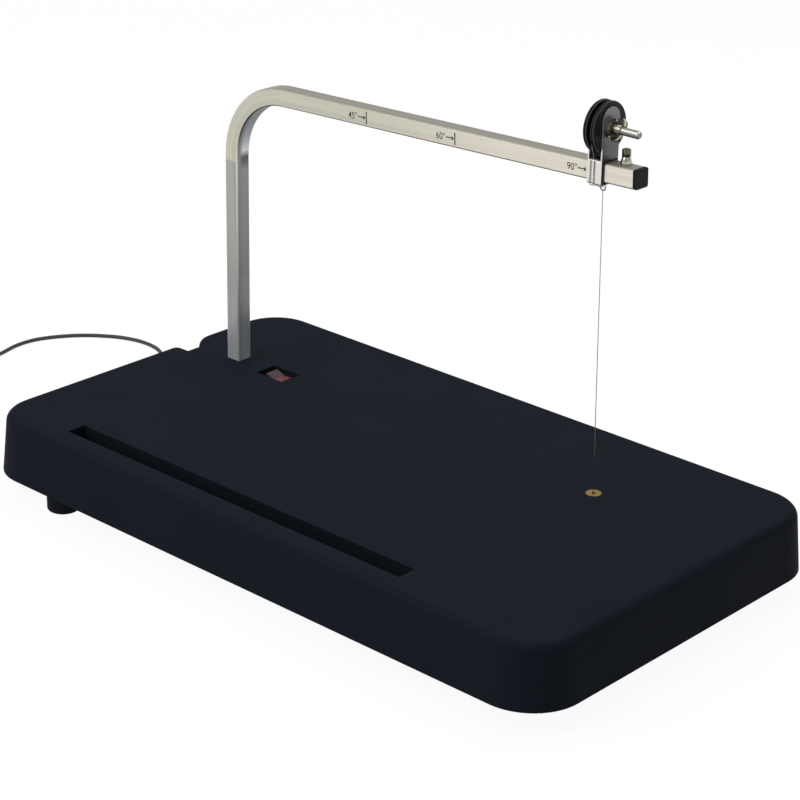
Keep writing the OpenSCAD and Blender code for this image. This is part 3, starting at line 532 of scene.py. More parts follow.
def add_object(name, data, finish, body=None):
    """Adds an object for a mesh or a curve, with its finish, riding on a body if any."""
    data.materials.clear()
    data.materials.append(material(finish))
    made = bpy.data.objects.new(name, data)
    bpy.context.scene.collection.objects.link(made)
    if body:
        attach(made, body)
    return made


def add_piece(name, bm, finish, body=None, smooth=0):
    """Makes an object of a bmesh, shaded smooth below an angle in degrees if one is given."""
    data = bpy.data.meshes.new(name)
    bm.to_mesh(data)
    bm.free()
    if smooth:
        data.shade_smooth()
        data.set_sharp_from_angle(angle=math.radians(smooth))
    return add_object(name, data, finish, body)


def add_tube(name, points, radius, rounds, finish, body):
    """A round wire or cord along points, as a curve with one open spline."""
    data = bpy.data.curves.new(name, "CURVE")
    data.dimensions = "3D"
    data.bevel_depth = radius
    data.bevel_resolution = rounds
    data.use_fill_caps = True
    line = data.splines.new("POLY")
    line.points.add(len(points) - 1)
    for spot, place in zip(line.points, points):
        spot.co = (*place, 1)
    return add_object(name, data, finish, body)


def stand(place, along):
    """Stands what is drawn along +Z at a place, along a direction."""
    return (Matrix.Translation(place)
            @ Vector((0, 0, 1)).rotation_difference(along).to_matrix().to_4x4())


def lathe(bm, profile, place, along, steps, closed=True):
    """Spins (radius, distance) points round an axis; a closed outline makes a ring."""
    upright = stand(place, along)
    verts = [bm.verts.new(upright @ Vector((r, 0, h))) for r, h in profile]
    pairs = list(zip(verts, verts[1:]))
    if closed:
        pairs.append((verts[-1], verts[0]))
    edges = [bm.edges.new(pair) for pair in pairs]
    bmesh.ops.spin(bm, geom=verts + edges, cent=place, axis=along, dvec=(0, 0, 0),
                   angle=2 * math.pi, steps=steps, use_merge=True, use_duplicate=False)
    bmesh.ops.remove_doubles(bm, verts=bm.verts, dist=1e-6)
    bmesh.ops.recalc_face_normals(bm, faces=bm.faces)


def thread_profile(radius, start, end, pitch):
    """Half outline of a threaded length, its teeth as rings: (radius, distance) points."""
    count = round((end - start) / pitch)
    step = (end - start) / count
    root = radius - 0.3 * pitch
    points = []
    # each tooth has a flat crest and a narrower root
    for i in range(count):
        points += [(r, start + (i + share) * step) for r, share in (
            (radius, 0.05), (radius, 0.45), (root, 0.7), (root, 0.8))]
    return points


def hex_ring(bm, width, height, bore, place, along, turn=0.0):
    """A hexagon nut or head in an empty mesh: both ends' corners taken off, and a bore."""
    radius, chamfer, steps = width / math.sqrt(3), width * 0.06, 24
    made = bmesh.ops.create_cone(bm, cap_ends=False, segments=6, radius1=radius,
                                 radius2=radius, depth=height)
    bores = []
    for z in (-height / 2, height / 2):
        corners = {v for v in made["verts"] if abs(v.co.z - z) < 1e-7}
        rim = [e for e in bm.edges if corners.issuperset(e.verts)]
        rings = []
        for ring_radius in (width * 0.47, bore):
            ring = bmesh.ops.create_circle(bm, cap_ends=False, segments=steps,
                                           radius=ring_radius)["verts"]
            bmesh.ops.translate(bm, verts=ring, vec=(0, 0, z))
            rings.append(list({e for v in ring for e in v.link_edges}))
        for v in corners:
            v.co.z -= math.copysign(chamfer, z)
        bmesh.ops.bridge_loops(bm, edges=rings[0] + rim)
        bmesh.ops.bridge_loops(bm, edges=rings[0] + rings[1])
        bores += rings[1]
    bmesh.ops.bridge_loops(bm, edges=bores)
    bmesh.ops.transform(bm, matrix=stand(place, along) @ Matrix.Rotation(turn, 4, "Z")
                        @ Matrix.Translation((0, 0, height / 2)), verts=bm.verts)
    bmesh.ops.recalc_face_normals(bm, faces=bm.faces)


def smooth_path(points, steps):
    """A smooth curve through given points, each span in steps."""
    pts = [Vector(p) for p in points]
    out = []
    for i in range(len(pts) - 1):
        a, b = pts[max(i - 1, 0)], pts[i]
        c, d = pts[i + 1], pts[min(i + 2, len(pts) - 1)]
        for k in range(steps):
            t = k / steps
            out.append(0.5 * ((2 * b) + (c - a) * t + (2 * a - 5 * b + 4 * c - d) * t * t
                              + (3 * b - a - 3 * c + d) * t ** 3))
    return out + [pts[-1]]


# ---------- the lead: its places are in millimetres, as in the part ----------

LEAD_ROUTE = [
    (-231.5, 42, 28), (-238, 42, 27.6), (-247, 42.5, 25), (-258, 45, 19), (-268, 49, 12),
    (-279, 55, 5.5), (-291, 64, 2.2), (-304, 76, 1.5), (-318, 91, 1.5), (-333, 104, 1.5),
    (-347, 109, 1.5), (-363, 109, 1.5), (-379, 104, 1.5), (-393, 95, 1.5), (-405, 84, 1.5),
    (-415, 70, 1.5), (-422, 54, 1.5), (-423, 37, 1.5), (-419, 20, 1.5), (-416, 4, 1.5),
    (-417.5, -10, 1.7), (-420.8, -22, 2.1)]
LEAD_TAIL = [
    (-421.2, -41.5, 8), (-422.6, -48, 5.2), (-424.6, -55, 2.6), (-427, -64, 1.5),
    (-429, -72, 2.8), (-428.6, -79, 7), (-425, -83.6, 12), (-419.5, -85, 15),
    (-415, -85, 15)]
COIL_AT = (-402, -32)
TIE_T = 0.6         # thickness of the tie under the coil
COIL_STEPS = 24     # points in a turn of the coil
CLIMB = 0.2         # share of a turn in which the lead moves over to the next


def coil_points(look):
    """The wound length: each layer runs in or out, and climbs to the next on its last turn."""
    pitch = look.diameter / MM
    inner = look.coil_turn / MM - (look.across - 1) / 2 * pitch
    last = look.across * look.layers - 1
    places = []
    for i in range((last + 1) * COIL_STEPS + 1):
        turn = min(i // COIL_STEPS, last)
        layer, place = divmod(turn, look.across)
        row = look.across - 1 - place if layer % 2 == 0 else place
        radius, height = inner + row * pitch, layer * pitch
        ease = max(0.0, (i / COIL_STEPS - turn - 1 + CLIMB) / CLIMB)
        ease = ease * ease * (3 - 2 * ease)
        if turn < last:
            if place == look.across - 1:
                height += ease * pitch
            else:
                radius += ease * pitch * (-1 if layer % 2 == 0 else 1)
        angle = math.pi + 2 * math.pi * i / COIL_STEPS
        places.append(Vector((COIL_AT[0] + radius * math.cos(angle),
                              COIL_AT[1] + radius * math.sin(angle),
                              TIE_T + pitch / 2 + height)))
    return places


class HOTWIRE_OT_lead(bpy.types.Operator):
    """Lays the lead from the table to its coil and on to the plug-in supply"""

    bl_idname = "hotwire.lead"
    bl_label = "Lay the lead"

    def execute(self, context):
        look = context.scene.hot_wire_lead
        coil = coil_points(look)
        way = smooth_path(LEAD_ROUTE + [coil[0]], 4)
        out = smooth_path([coil[-1]] + LEAD_TAIL, 4)
        points = [p * MM for p in way[:-1] + coil + out[1:]]
        lead = add_tube("lead", points, look.diameter / 2, 4, lead_pvc, "base")
        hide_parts("power_cable", "cable_coil", "cable_tail")
        finish_nodes(gland_pvc, "cable_gland", "coil_tie")
        finish_nodes(supply_abs, "adapter_housing")
        finish_nodes(pin_nickel, "adapter_pins")
        return {"FINISHED"}


# ---------- finishes of the nodes that keep their shape ----------

class HOTWIRE_OT_table(bpy.types.Operator):
    """Finishes the moulded table and what is fixed in and under it"""

    bl_idname = "hotwire.table"
    bl_label = "Finish the table"

    def execute(self, context):
        finish_nodes(table_abs, "base_shell")
        finish_nodes(cover_abs, "bottom_plate")
        finish_nodes(foot_rubber, "feet")
        finish_nodes(bright_zinc, "foot_screws", "plate_screws", "terminal_screws")
        finish_nodes(turned_brass, "table_bush", "lower_terminal")
        finish_nodes(insulation_red, "inner_leads")
        return {"FINISHED"}


class HOTWIRE_OT_arm(bpy.types.Operator):
    """Finishes the bent tube, its end cap and the bolt that clamps the post"""

    bl_idname = "hotwire.arm"
    bl_label = "Finish the arm"

    def execute(self, context):
        finish_nodes(brushed_tube, "arm_tube")
        finish_nodes(cap_polythene, "arm_end_cap")
        finish_nodes(bright_zinc, "arm_clamp_bolt", "arm_clamp_nut")
        return {"FINISHED"}


class HOTWIRE_OT_switch(bpy.types.Operator):
    """Finishes the rocker switch"""

    bl_idname = "hotwire.switch"
    bl_label = "Finish the switch"

    def execute(self, context):
        finish_nodes(switch_polyamide, "switch_body")
        finish_nodes(rocker_red, "rocker")
        finish_nodes(tab_tin, "switch_terminals")
        return {"FINISHED"}


class HOTWIRE_OT_head(bpy.types.Operator):
    """Finishes the sliding head: sleeve, liner, washers and eyelet"""

    bl_idname = "hotwire.head"
    bl_label = "Finish the wire head"

    def execute(self, context):
        finish_nodes(satin_sheet, "slider_bracket")
        finish_nodes(liner_polyamide, "slider_liner")
        finish_nodes(bright_zinc, "flat_washer", "spring_washer", "wire_eyelet")
        return {"FINISHED"}


# ---------- the angle marks ----------

INK = 0.03 * MM         # how far the ink stands off the tube
FIGURE_SHARE = 0.7      # height of a figure in the font, as a share of its size
FIGURE_GAP = 0.4 * MM   # between the figures and their arrow
NARROW = 0.9            # the figures are drawn a little narrow
BOLD = 0.005            # how far their strokes are thickened, as a share of their height


def arm_face(u, w):
    """A point on the arm's front face: u along it from the bend, w up from its middle."""
    place = BEND_AT + ARM_WAY * u + ARM_UP * (BEND_R + w)
    return Vector((place.x, ARM_Y - TUBE / 2 - INK, place.z))


def stroke(bm, start, end, width):
    """A straight inked line between two points of the arm's face."""
    a, b = arm_face(*start), arm_face(*end)
    side = (b - a).normalized().cross(Vector((0, 1, 0))) * width / 2
    face = bm.faces.new([bm.verts.new(p) for p in (a - side, b - side, b + side, a + side)])
    face.normal_update()
    if face.normal.y > 0:
        face.normal_flip()


class HOTWIRE_OT_marks(bpy.types.Operator):
    """Stamps the angle marks on the arm: figures, arrows and bars"""

    bl_idname = "hotwire.marks"
    bl_label = "Stamp the angle marks"

    def execute(self, context):
        look = context.scene.hot_wire_marks
        for angle, tip, bar in ((45, look.tip_45, True), (60, look.tip_60, True),
                                (90, look.tip_90, False)):
            self.figures(look, angle, tip)
            bm = bmesh.new()
            stroke(bm, (tip - look.arrow, 0), (tip, 0), look.line)
            for way in (-1, 1):
                stroke(bm, (tip - look.barb, way * look.barb_out), (tip, 0), look.line)
            if bar:
                bar_at = tip + look.bar_gap
                stroke(bm, (bar_at, -look.bar / 2), (bar_at, look.bar / 2),
                       look.line * 1.3)
            add_piece("arrow_%d" % angle, bm, mark_ink, "base")
        return {"FINISHED"}

    def figures(self, look, angle, tip):
        """The figures end where the arrow starts; the text becomes a mesh, then is placed."""
        words = bpy.data.curves.new("figures", "FONT")
        words.body = "%d\u00b0" % angle
        words.size = look.height / FIGURE_SHARE
        words.align_x = "RIGHT"
        words.offset = look.height * BOLD
        holder = bpy.data.objects.new("figures", words)
        bpy.context.scene.collection.objects.link(holder)
        flat = holder.evaluated_get(bpy.context.evaluated_depsgraph_get())
        data = bpy.data.meshes.new_from_object(flat)
        bpy.data.objects.remove(holder)
        start = arm_face(tip - look.arrow - FIGURE_GAP, -look.height / 2)
        along = Matrix((ARM_WAY, ARM_UP, ARM_WAY.cross(ARM_UP))).transposed().to_4x4()
        data.transform(Matrix.Translation(start) @ along
                       @ Matrix.Diagonal((NARROW, 1, 1, 1)))
        add_object("mark_%d" % angle, data, mark_ink, "base")


# ---------- the spool and its wire ----------

# round the sleeve to the eyelet, in millimetres from the middle of its left end
WRAP_ROUTE = [
    (5.3, -12.3, 26.4), (5.3, -11.5, 18), (5.3, -9.2, 10.5), (5.3, -8.15, 6.5),
    (5.3, -8.15, 0), (5.3, -8.15, -6.8), (5.1, -6.8, -8.15), (4.7, 0, -8.15),
    (4.1, 6.8, -8.15), (3.9, 8.15, -6.8), (3.5, 8.15, 0), (3.2, 8.15, 6.8), (3, 6.8, 8.15),
    (2.8, 0, 8.15), (2.6, -6.8, 8.15), (2.6, -8.15, 6.8), (2.6, -8.15, 0),
    (2.6, -8.15, -6.8), (3.1, -7, -8.35), (4.8, -4.5, -8.75), (5.3, -1.8, -10.2),
    (6.5, 0.6, -10.5)]
WINDING_STEPS = 40      # points in a turn of the spare wire
NEST = 0.86             # how far apart layers of round wire lie, in diameters


class HOTWIRE_OT_spool(bpy.types.Operator):
    """Finishes the spool, winds the spare wire on it and wraps the wire round the sleeve"""

    bl_idname = "hotwire.spool"
    bl_label = "Wind the spool"

    def execute(self, context):
        look = context.scene.hot_wire_wire
        finish_nodes(spool_acetal, "spool")
        low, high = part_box("wire_winding")
        for layer in range(look.layers):
            radius = (high.z - low.z) / 2 - look.diameter * (0.5 + NEST * layer)
            coil = add_tube("winding_%d" % layer, self.turns(look, low.x, high.x, radius),
                            look.diameter / 2, 1, nichrome, "spool")
            if layer == 0:
                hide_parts("wire_winding")
        low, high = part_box("slider_bracket")
        start = Vector((low.x, ARM_Y, low.z + (high.y - low.y) / 2))
        wrap = add_tube("wire_turns", [start + p * MM for p in smooth_path(WRAP_ROUTE, 4)],
                        look.diameter / 2, 2, nichrome, "slider")
        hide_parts("wire_wrap")
        return {"FINISHED"}

    def turns(self, look, start, end, radius):
        """One layer of turns that lie side by side across the groove."""
        room = end - start - look.diameter
        count = int(room / look.diameter) * WINDING_STEPS
        return [(start + look.diameter / 2 + room * i / count,
                 SPOOL_AT.y + radius * math.cos(2 * math.pi * i / WINDING_STEPS),
                 SPOOL_AT.z + radius * math.sin(2 * math.pi * i / WINDING_STEPS))
                for i in range(count + 1)]


# ---------- the bolt, the nuts and the stop ----------

CLEAR = 0.05 * MM       # between a thread and the bore of its nut


class HOTWIRE_OT_clamp(bpy.types.Operator):
    """Makes the bolt with its thread, the wing nut and the stop near the arm's end"""

    bl_idname = "hotwire.clamp"
    bl_label = "Make the bolt and nuts"

    def execute(self, context):
        look = context.scene.hot_wire_metal
        self.bolt(look)
        self.wing_nut(look)
        self.stop(look)
        return {"FINISHED"}

    def bolt(self, look):
        """Hexagon head, plain shank under the spool, then a thread to the chamfered end."""
        low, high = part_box("spool_bolt")
        radius = look.bolt / 2
        head, length = BOLT_AT.x - low.x, high.x - BOLT_AT.x
        sunk = radius * 0.98        # the shank's start inside the head
        shank, chamfer = length * 0.32, 0.5 * MM
        bm = bmesh.new()
        hex_ring(bm, high.y - low.y, head, radius * 0.9, BOLT_AT - BOLT_WAY * head, BOLT_WAY)
        profile = [(0, -head * 0.7), (sunk, -head * 0.7), (sunk, 0), (radius, 0),
                   (radius, shank)]
        profile += thread_profile(radius, shank, length - chamfer - 0.1 * MM, look.pitch)
        profile += [(radius * 0.86, length - chamfer), (radius * 0.72, length), (0, length)]
        lathe(bm, profile, BOLT_AT, BOLT_WAY, 32, closed=False)
        made = add_piece("head_bolt", bm, bright_zinc, "slider", 35)
        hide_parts("spool_bolt")

    def wing_nut(self, look):
        """Hub with a bore, and two round wings with a raised rim."""
        bore, foot, neck, hub = look.bolt / 2 + CLEAR, 3.75 * MM, 3 * MM, look.hub
        edge, fall = 0.35 * MM, 0.3 * MM        # of the hub's softened ends
        bm = bmesh.new()
        lathe(bm, [(bore, 0), (foot - edge, 0), (foot, fall), (neck + edge, hub - fall),
                   (neck, hub), (bore, hub)], NUT_AT, BOLT_WAY, 40)
        for way in (0, 1):
            spin = Matrix.Rotation(look.wing_turn + math.pi * way, 4, "X")
            wing = bmesh.new()
            self.wing(wing, look, spin, bore + 0.3 * MM)
            data = bpy.data.meshes.new("wing")
            wing.to_mesh(data)
            wing.free()
            bm.from_mesh(data)
            bpy.data.meshes.remove(data)
        made = add_piece("clamp_wing_nut", bm, nickel_cast, "wing", 35)
        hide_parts("wing_nut")

    def wing(self, bm, look, spin, root):
        """One wing: a thick disc with hollowed faces, cut where it joins the hub."""
        bmesh.ops.create_cone(bm, cap_ends=True, cap_tris=False, segments=48,
                              radius1=look.wing, radius2=look.wing, depth=look.wing_thick)
        caps = [f for f in bm.faces if len(f.verts) > 4]
        rim = list({e for f in caps for e in f.edges})
        # a flat rim, then a slope down to the hollow
        for step, sink in ((look.wing_rim, 0), (0.3 * MM, -0.3 * MM)):
            bmesh.ops.inset_individual(bm, faces=caps, thickness=step, depth=sink)
        bmesh.ops.bevel(bm, geom=rim, offset=0.4 * MM, segments=3, profile=0.5,
                        affect="EDGES", material=-1)
        place = Matrix.Translation((look.wing_up, look.wing_out, 0))
        bmesh.ops.transform(bm, matrix=Matrix.Translation(NUT_AT) @ spin @ place,
                            verts=bm.verts)
        # cut flush with the nut's face, and inside the hub's wall
        out = spin @ Vector((0, 1, 0))
        for spot, away in ((NUT_AT, -BOLT_WAY), (NUT_AT + out * root, -out)):
            bmesh.ops.bisect_plane(bm, geom=bm.verts[:] + bm.edges[:] + bm.faces[:],
                                   plane_co=spot, plane_no=away, clear_outer=True)
            bmesh.ops.holes_fill(bm, edges=[e for e in bm.edges if e.is_boundary])
        bmesh.ops.recalc_face_normals(bm, faces=bm.faces)

    def stop(self, look):
        """Conical seat, hexagon nut and the screw's thread above the arm."""
        nut, seat, radius = look.stop_nut, look.stop_seat, look.stop_screw / 2
        wall, head = 1.2 * MM, 2 * MM   # the tube's wall, and the screw's head under it
        top = seat + nut + 0.4 * MM
        foot = middle("stop_nut") - ARM_UP * (nut / 2 + seat)      # on the arm's top face
        bm = bmesh.new()
        profile = [(0, -wall - head), (radius * 1.5, -wall - head), (radius * 1.5, -wall),
                   (radius, -wall), (radius, seat)]
        profile += thread_profile(radius, seat, seat + nut, look.stop_pitch)
        profile += [(radius * 0.8, top), (0, top)]
        lathe(bm, profile, foot, ARM_UP, 24, closed=False)
        made = add_piece("stop_stud", bm, yellow_zinc, "base", 35)
        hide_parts("stop_screw")
        bm = bmesh.new()
        bore, flange = radius + 3 * CLEAR, radius * 2.4
        lathe(bm, [(bore, 0), (radius * 2.3, 0), (flange, 0.1 * MM), (flange, 0.7 * MM),
                   (radius * 1.75, seat - 0.2 * MM), (radius * 1.65, seat), (bore, seat)],
              foot, ARM_UP, 40)
        made = add_piece("stop_seat", bm, bright_zinc, "base", 40)
        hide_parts("stop_washer")
        bm = bmesh.new()
        hex_ring(bm, radius * 3.2, nut, radius + CLEAR, foot + ARM_UP * seat, ARM_UP,
                 look.stop_turn)
        made = add_piece("stop_hexagon", bm, yellow_zinc, "base", 30)
        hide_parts("stop_nut")


# ---------- the cutting wire ----------

class HOTWIRE_OT_cutting_wire(bpy.types.Operator):
    """Strings the cutting wire from the terminal through the bush to the head"""

    bl_idname = "hotwire.cutting_wire"
    bl_label = "String the cutting wire"

    def execute(self, context):
        look = context.scene.hot_wire_wire
        low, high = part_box("cutting_wire")
        half = look.diameter / 2
        # the wire leans: its lower end is nearer the arm's open end
        foot = Vector((high.x - half, ARM_Y, low.z))
        top = Vector((low.x + half, ARM_Y, high.z))
        run = top - foot
        # it swings about the bush's mouth, so the length below that stays still
        mouth = foot + run * ((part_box("table_bush")[1].z - half - foot.z) / run.z)
        below = self.length("wire_below", foot, mouth, half, "base")
        wire = self.length("hot_wire", mouth, top, half, None)
        for piece in (below, wire):
            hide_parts("cutting_wire")
        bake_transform(wire)
        return {"FINISHED"}

    def length(self, name, start, end, half, body):
        """A straight length of wire between two points."""
        run = end - start
        bm = bmesh.new()
        bmesh.ops.create_cone(bm, cap_ends=True, cap_tris=False, segments=12, radius1=half,
                              radius2=half, depth=run.length)
        bmesh.ops.transform(bm, matrix=stand((start + end) / 2, run), verts=bm.verts)
        return add_piece(name, bm, nichrome, body, 60)


# ---------- stage ----------

CAMERA_AT = (0.94404, -1.02666, 0.6886)
LAMPS = {       # the place and the width of each
    "key": ((-0.9, -1.5, 1.7), 1.6),
    "fill": ((1.9, -0.5, 1.0), 1.6),
    "top": ((-0.1, 0.5, 1.9), 1.4),
}
LAMPS_AIM = Vector((0, 0, 0.1))


class HOTWIRE_OT_stage(bpy.types.Operator):
    """Sets the floor, the background, the lamps and the camera"""

    bl_idname = "hotwire.stage"
    bl_label = "Set the stage"

    def execute(self, context):
        look = context.scene.hot_wire_stage
        self.camera(context, look)
        self.floor()
        self.world(context, look)
        for name, (place, size) in LAMPS.items():
            self.lamp(name, Vector(place), size, getattr(look, name + "_power"))
        context.scene.view_settings.view_transform = "Standard"
        return {"FINISHED"}

    def camera(self, context, look):
        """The camera looks down past the right end, turned by three angles."""
        data = bpy.data.cameras.new("camera")
        data.sensor_width = 36
        data.lens = look.lens
        data.clip_start, data.clip_end = 0.05, 50
        made = bpy.data.objects.new("camera", data)
        made.matrix_world = (Matrix.Translation(CAMERA_AT)
                             @ Matrix.Rotation(look.azimuth, 4, "Z")
                             @ Matrix.Rotation(math.pi / 2 - look.elevation, 4, "X")
                             @ Matrix.Rotation(look.roll, 4, "Z"))
        context.scene.collection.objects.link(made)
        context.scene.camera = made

    def floor(self):
        """A wide plain floor just under the feet."""
        bm = bmesh.new()
        bmesh.ops.create_grid(bm, x_segments=1, y_segments=1, size=6)
        bmesh.ops.translate(bm, vec=(0, 0, -0.2 * MM), verts=bm.verts)
        add_piece("floor", bm, floor_paper)

    def world(self, context, look):
        """Light from all round, dimmer from the right; what is seen is plain white."""
        world = bpy.data.worlds.new("studio")
        context.scene.world = world
        world.use_nodes = True
        tree = world.node_tree
        tree.nodes.clear()
        path = add_node(tree, "ShaderNodeLightPath").outputs
        seen = path["Is Camera Ray"]
        for ray in ("Is Glossy Ray", "Is Transmission Ray"):
            seen = add_node(tree, "ShaderNodeMath", {0: seen, 1: path[ray]},
                            operation="MAXIMUM")
        # white all round, with a dimmer ceiling above the lamps
        way = add_node(tree, "ShaderNodeTexCoord")
        height = add_node(tree, "ShaderNodeSeparateXYZ", {"Vector": way.outputs["Generated"]})
        level = add_node(tree, "ShaderNodeMapRange", {
            "Value": height.outputs["Z"], "From Min": 0.12, "From Max": 0.3,
            "To Min": 1.0, "To Max": look.ceiling})
        shown = add_node(tree, "ShaderNodeBackground", {"Color": WHITE, "Strength": level})
        less = add_node(tree, "ShaderNodeMapRange", {
            "Value": height.outputs["X"], "From Min": 0.0, "From Max": 0.6,
            "To Min": look.world_strength, "To Max": look.world_strength * 0.3})
        light = add_node(tree, "ShaderNodeBackground", {"Color": (0.93, 0.96, 1.0),
                                                        "Strength": less})
        mix = add_node(tree, "ShaderNodeMixShader", {0: seen, 1: light, 2: shown})
        add_node(tree, "ShaderNodeOutputWorld", {"Surface": mix})

    def lamp(self, name, place, size, power):
        """A square soft lamp that faces the table."""
        data = bpy.data.lights.new(name, "AREA")
        data.size = size
        data.energy = power
        made = bpy.data.objects.new(name, data)
        turn = (LAMPS_AIM - place).to_track_quat("-Z", "Y").to_matrix().to_4x4()
        made.matrix_world = Matrix.Translation(place) @ turn
        bpy.context.scene.collection.objects.link(made)


# ---------- settings ----------

def colour_of(code, name, description):
    """A colour that a user can set, from its hex value."""
    return bpy.props.FloatVectorProperty(name=name, description=description, size=3, min=0,
                                         max=1, default=paint(code), subtype="COLOR")


def number_of(value, name, description, **limits):
    """A number that a user can set, with its limits and its unit."""
    return bpy.props.FloatProperty(name=name, description=description, default=value,
                                   **limits)


def length_of(value, name, description):
    """A length that a user can set, in metres."""
    return number_of(value, name, description, min=0, unit="LENGTH", subtype="DISTANCE",
                     precision=5)


def angle_of(value, name, description):
    """An angle that a user can set, from degrees."""
    return number_of(math.radians(value), name, description, subtype="ANGLE")


def count_of(value, name, description):
    """A number of pieces that a user can set."""
    return bpy.props.IntProperty(name=name, description=description, default=value, min=1)


class HotWireTable(bpy.types.PropertyGroup):
    """The moulded table"""
    colour: colour_of("#1d2129", "Colour", "Colour of the moulded plastic")
    grain: length_of(0.0011, "Grain", "Size of the moulded grain")


class HotWireMetal(bpy.types.PropertyGroup):
    """Tube, sheet, bolt and nuts of the arm and head"""
    tube_colour: colour_of("#fdf6e6", "Arm", "Colour of the brushed arm")
    bend_colour: colour_of("#e2e0cd", "Bend", "Colour of the bend, dulled by bending")
    # painted shade: the post's front and back are painted darker than the arm
    post_shade_colour: colour_of("#c0c1be", "Post", "Colour of the post's front and back")
    # painted shade: the post's inner side is painted darker than its front
    side_shade_colour: colour_of("#a6a8a9", "Post side", "Colour of the post's inner side")
    sheet_colour: colour_of("#f4f0ea", "Sheet", "Colour of the head's sheet metal")
    # painted shade: the ears' flat faces are painted darker than the sleeve
    ear_shade_colour: colour_of("#626264", "Ears", "Colour of the ears' flat faces")
    line_spacing: length_of(0.0005, "Line spacing", "Distance between brushed lines")
    bolt: length_of(0.005, "Bolt", "Nominal diameter of the head's bolt")
    pitch: length_of(0.0008, "Pitch", "Pitch of the bolt's thread")
    hub: length_of(0.0058, "Hub", "Height of the wing nut's hub")
    wing: length_of(0.0042, "Wing", "Radius of each wing of the nut")
    wing_thick: length_of(0.0019, "Wing thickness", "Thickness of the wings")
    wing_rim: length_of(0.0008, "Wing rim", "Width of the wings' raised rim")
    wing_up: length_of(0.0029, "Wing height", "Middle of a wing from the nut's face")
    wing_out: length_of(0.0032, "Wing reach", "Middle of a wing from the bolt's axis")
    wing_turn: angle_of(53, "Wing turn", "How far the wings are turned")
    stop_screw: length_of(0.003, "Stop screw", "Nominal diameter of the stop's screw")
    stop_pitch: length_of(0.0005, "Stop pitch", "Pitch of the stop screw's thread")
    stop_nut: length_of(0.0046, "Stop nut", "Height of the stop's nut")
    stop_seat: length_of(0.0044, "Stop seat", "Height of the conical seat under the nut")
    stop_turn: angle_of(20, "Stop nut turn", "How far the stop's nut is turned")


class HotWireWire(bpy.types.PropertyGroup):
    """The cutting wire"""
    diameter: length_of(0.0005, "Diameter", "Diameter of the wire")
    layers: count_of(2, "Layers", "Layers of spare wire on the spool")
    colour: colour_of("#8f897e", "Colour", "Colour of the drawn wire")


class HotWireMarks(bpy.types.PropertyGroup):
    """The angle marks on the arm"""
    height: length_of(0.0044, "Height", "Height of the figures")
    arrow: length_of(0.0062, "Arrow", "Length of each arrow")
    barb: length_of(0.0014, "Barb", "Length of the arrows' heads")
    barb_out: length_of(0.0011, "Barb reach", "Half of the height of the arrows' heads")
    bar: length_of(0.008, "Bar", "Height of the bars")
    bar_gap: length_of(0.0012, "Bar gap", "Distance from an arrow's tip to its bar")
    line: length_of(0.0007, "Line", "Width of the arrows' lines")
    tip_45: length_of(0.0765, "45 mark", "Arrow's tip, along the arm from the bend")
    tip_60: length_of(0.1518, "60 mark", "Arrow's tip, along the arm from the bend")
    tip_90: length_of(0.2562, "90 mark", "Arrow's tip, along the arm from the bend")
    colour: colour_of("#1a1008", "Colour", "Colour of the stamped ink")


class HotWireSwitch(bpy.types.PropertyGroup):
    """The rocker switch"""
    rocker_colour: colour_of("#720f1c", "Rocker", "Colour of the clear red rocker")
    # painted highlight on the rocker's left half
    painted_highlight_colour: colour_of("#5a3f46", "Worn half", "Colour of the rocker's rubbed half")


class HotWireLead(bpy.types.PropertyGroup):
    """The low voltage lead"""
    diameter: length_of(0.003, "Diameter", "Diameter of the lead")
    length: length_of(1.6, "Length", "Real length of the lead, to its supply")
    coil_turn: length_of(0.0155, "Coil radius", "Radius at the middle of the coil's turns")
    across: count_of(3, "Turns across", "Turns of the coil side by side")
    layers: count_of(4, "Layers", "Turns of the coil on each other")
    colour: colour_of("#3c3d40", "Colour", "Colour of the lead's sheath")


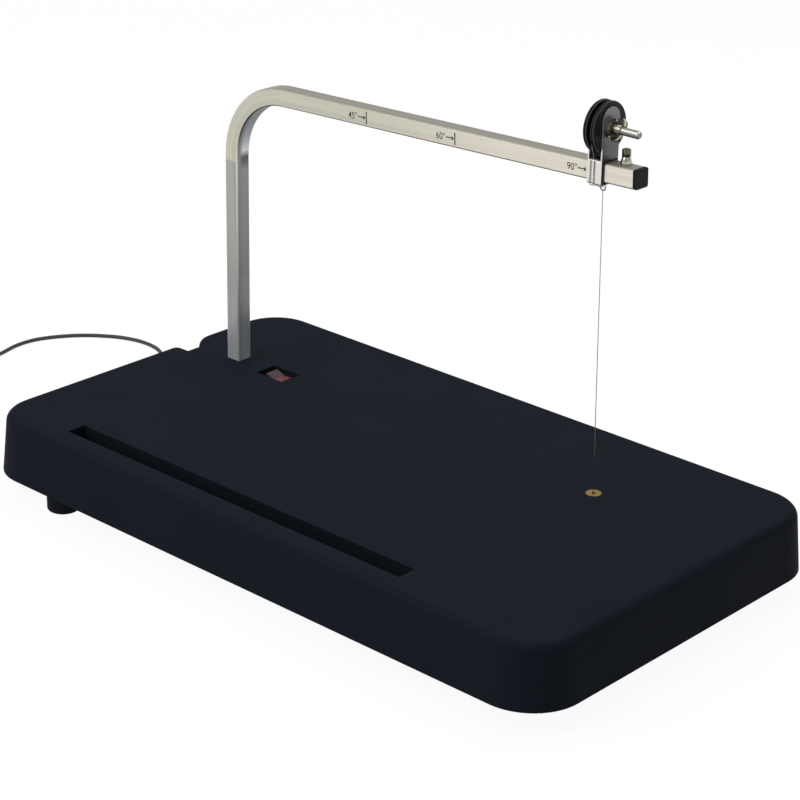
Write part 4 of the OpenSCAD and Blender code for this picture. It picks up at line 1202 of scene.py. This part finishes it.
class HotWireStage(bpy.types.PropertyGroup):
    """Camera, lamps and floor"""
    lens: number_of(107.45, "Lens", "Focal length in millimetres", min=10, unit="CAMERA")
    azimuth: angle_of(42.293, "Azimuth", "How far round from the front the camera stands")
    elevation: angle_of(23.071, "Elevation", "How far the camera looks down")
    roll: angle_of(1.084, "Roll", "Turn about the line of sight")
    key_power: number_of(20, "Key", "Power of the front lamp", min=0, unit="POWER")
    fill_power: number_of(1.5, "Fill", "Power of the lamp beside the right end", min=0,
                          unit="POWER")
    top_power: number_of(12.5, "Top", "Power of the lamp above", min=0, unit="POWER")
    world_strength: number_of(0.5, "World", "Strength of the light all round", min=0)
    ceiling: number_of(0.36, "Ceiling", "How bright the ceiling shows in metal", min=0,
                       max=1, subtype="FACTOR")
    floor_colour: colour_of("#d2d2d2", "Floor", "Colour of the floor")
    floor_blown: number_of(0.88, "Blown out", "How far the floor is blown out to white",
                           min=0, max=1, subtype="FACTOR")


GROUPS = {
    "hot_wire_table": HotWireTable, "hot_wire_metal": HotWireMetal,
    "hot_wire_wire": HotWireWire, "hot_wire_marks": HotWireMarks,
    "hot_wire_switch": HotWireSwitch, "hot_wire_lead": HotWireLead,
    "hot_wire_stage": HotWireStage,
}
OPERATORS = (
    HOTWIRE_OT_stage, HOTWIRE_OT_lead, HOTWIRE_OT_table, HOTWIRE_OT_arm, HOTWIRE_OT_marks,
    HOTWIRE_OT_switch, HOTWIRE_OT_head, HOTWIRE_OT_spool, HOTWIRE_OT_clamp,
    HOTWIRE_OT_cutting_wire,
)


class HOTWIRE_PT_pieces(bpy.types.Panel):
    """Lists the pieces and their settings"""

    bl_idname = "HOTWIRE_PT_pieces"
    bl_label = "Hot Wire Cutter"
    bl_space_type = "VIEW_3D"
    bl_region_type = "UI"
    bl_category = "Hot Wire"

    def draw(self, context):
        for operator in OPERATORS:
            self.layout.operator(operator.bl_idname)
        for name, group in GROUPS.items():
            box = self.layout.box()
            box.label(text=group.__doc__)
            for key in group.__annotations__:
                box.prop(getattr(context.scene, name), key)


def register():
    for cls in (*GROUPS.values(), *OPERATORS, HOTWIRE_PT_pieces):
        bpy.utils.register_class(cls)
    for name, group in GROUPS.items():
        setattr(bpy.types.Scene, name, bpy.props.PointerProperty(type=group))


def unregister():
    for name in GROUPS:
        delattr(bpy.types.Scene, name)
    for cls in (*GROUPS.values(), *OPERATORS, HOTWIRE_PT_pieces):
        bpy.utils.unregister_class(cls)


def main():
    """Makes every piece in order."""
    register()
    bpy.ops.hotwire.stage()
    bpy.ops.hotwire.lead()
    bpy.ops.hotwire.table()
    bpy.ops.hotwire.arm()
    bpy.ops.hotwire.marks()
    bpy.ops.hotwire.switch()
    bpy.ops.hotwire.head()
    bpy.ops.hotwire.spool()
    bpy.ops.hotwire.clamp()
    bpy.ops.hotwire.cutting_wire()


if __name__ == "__main__":
    main()
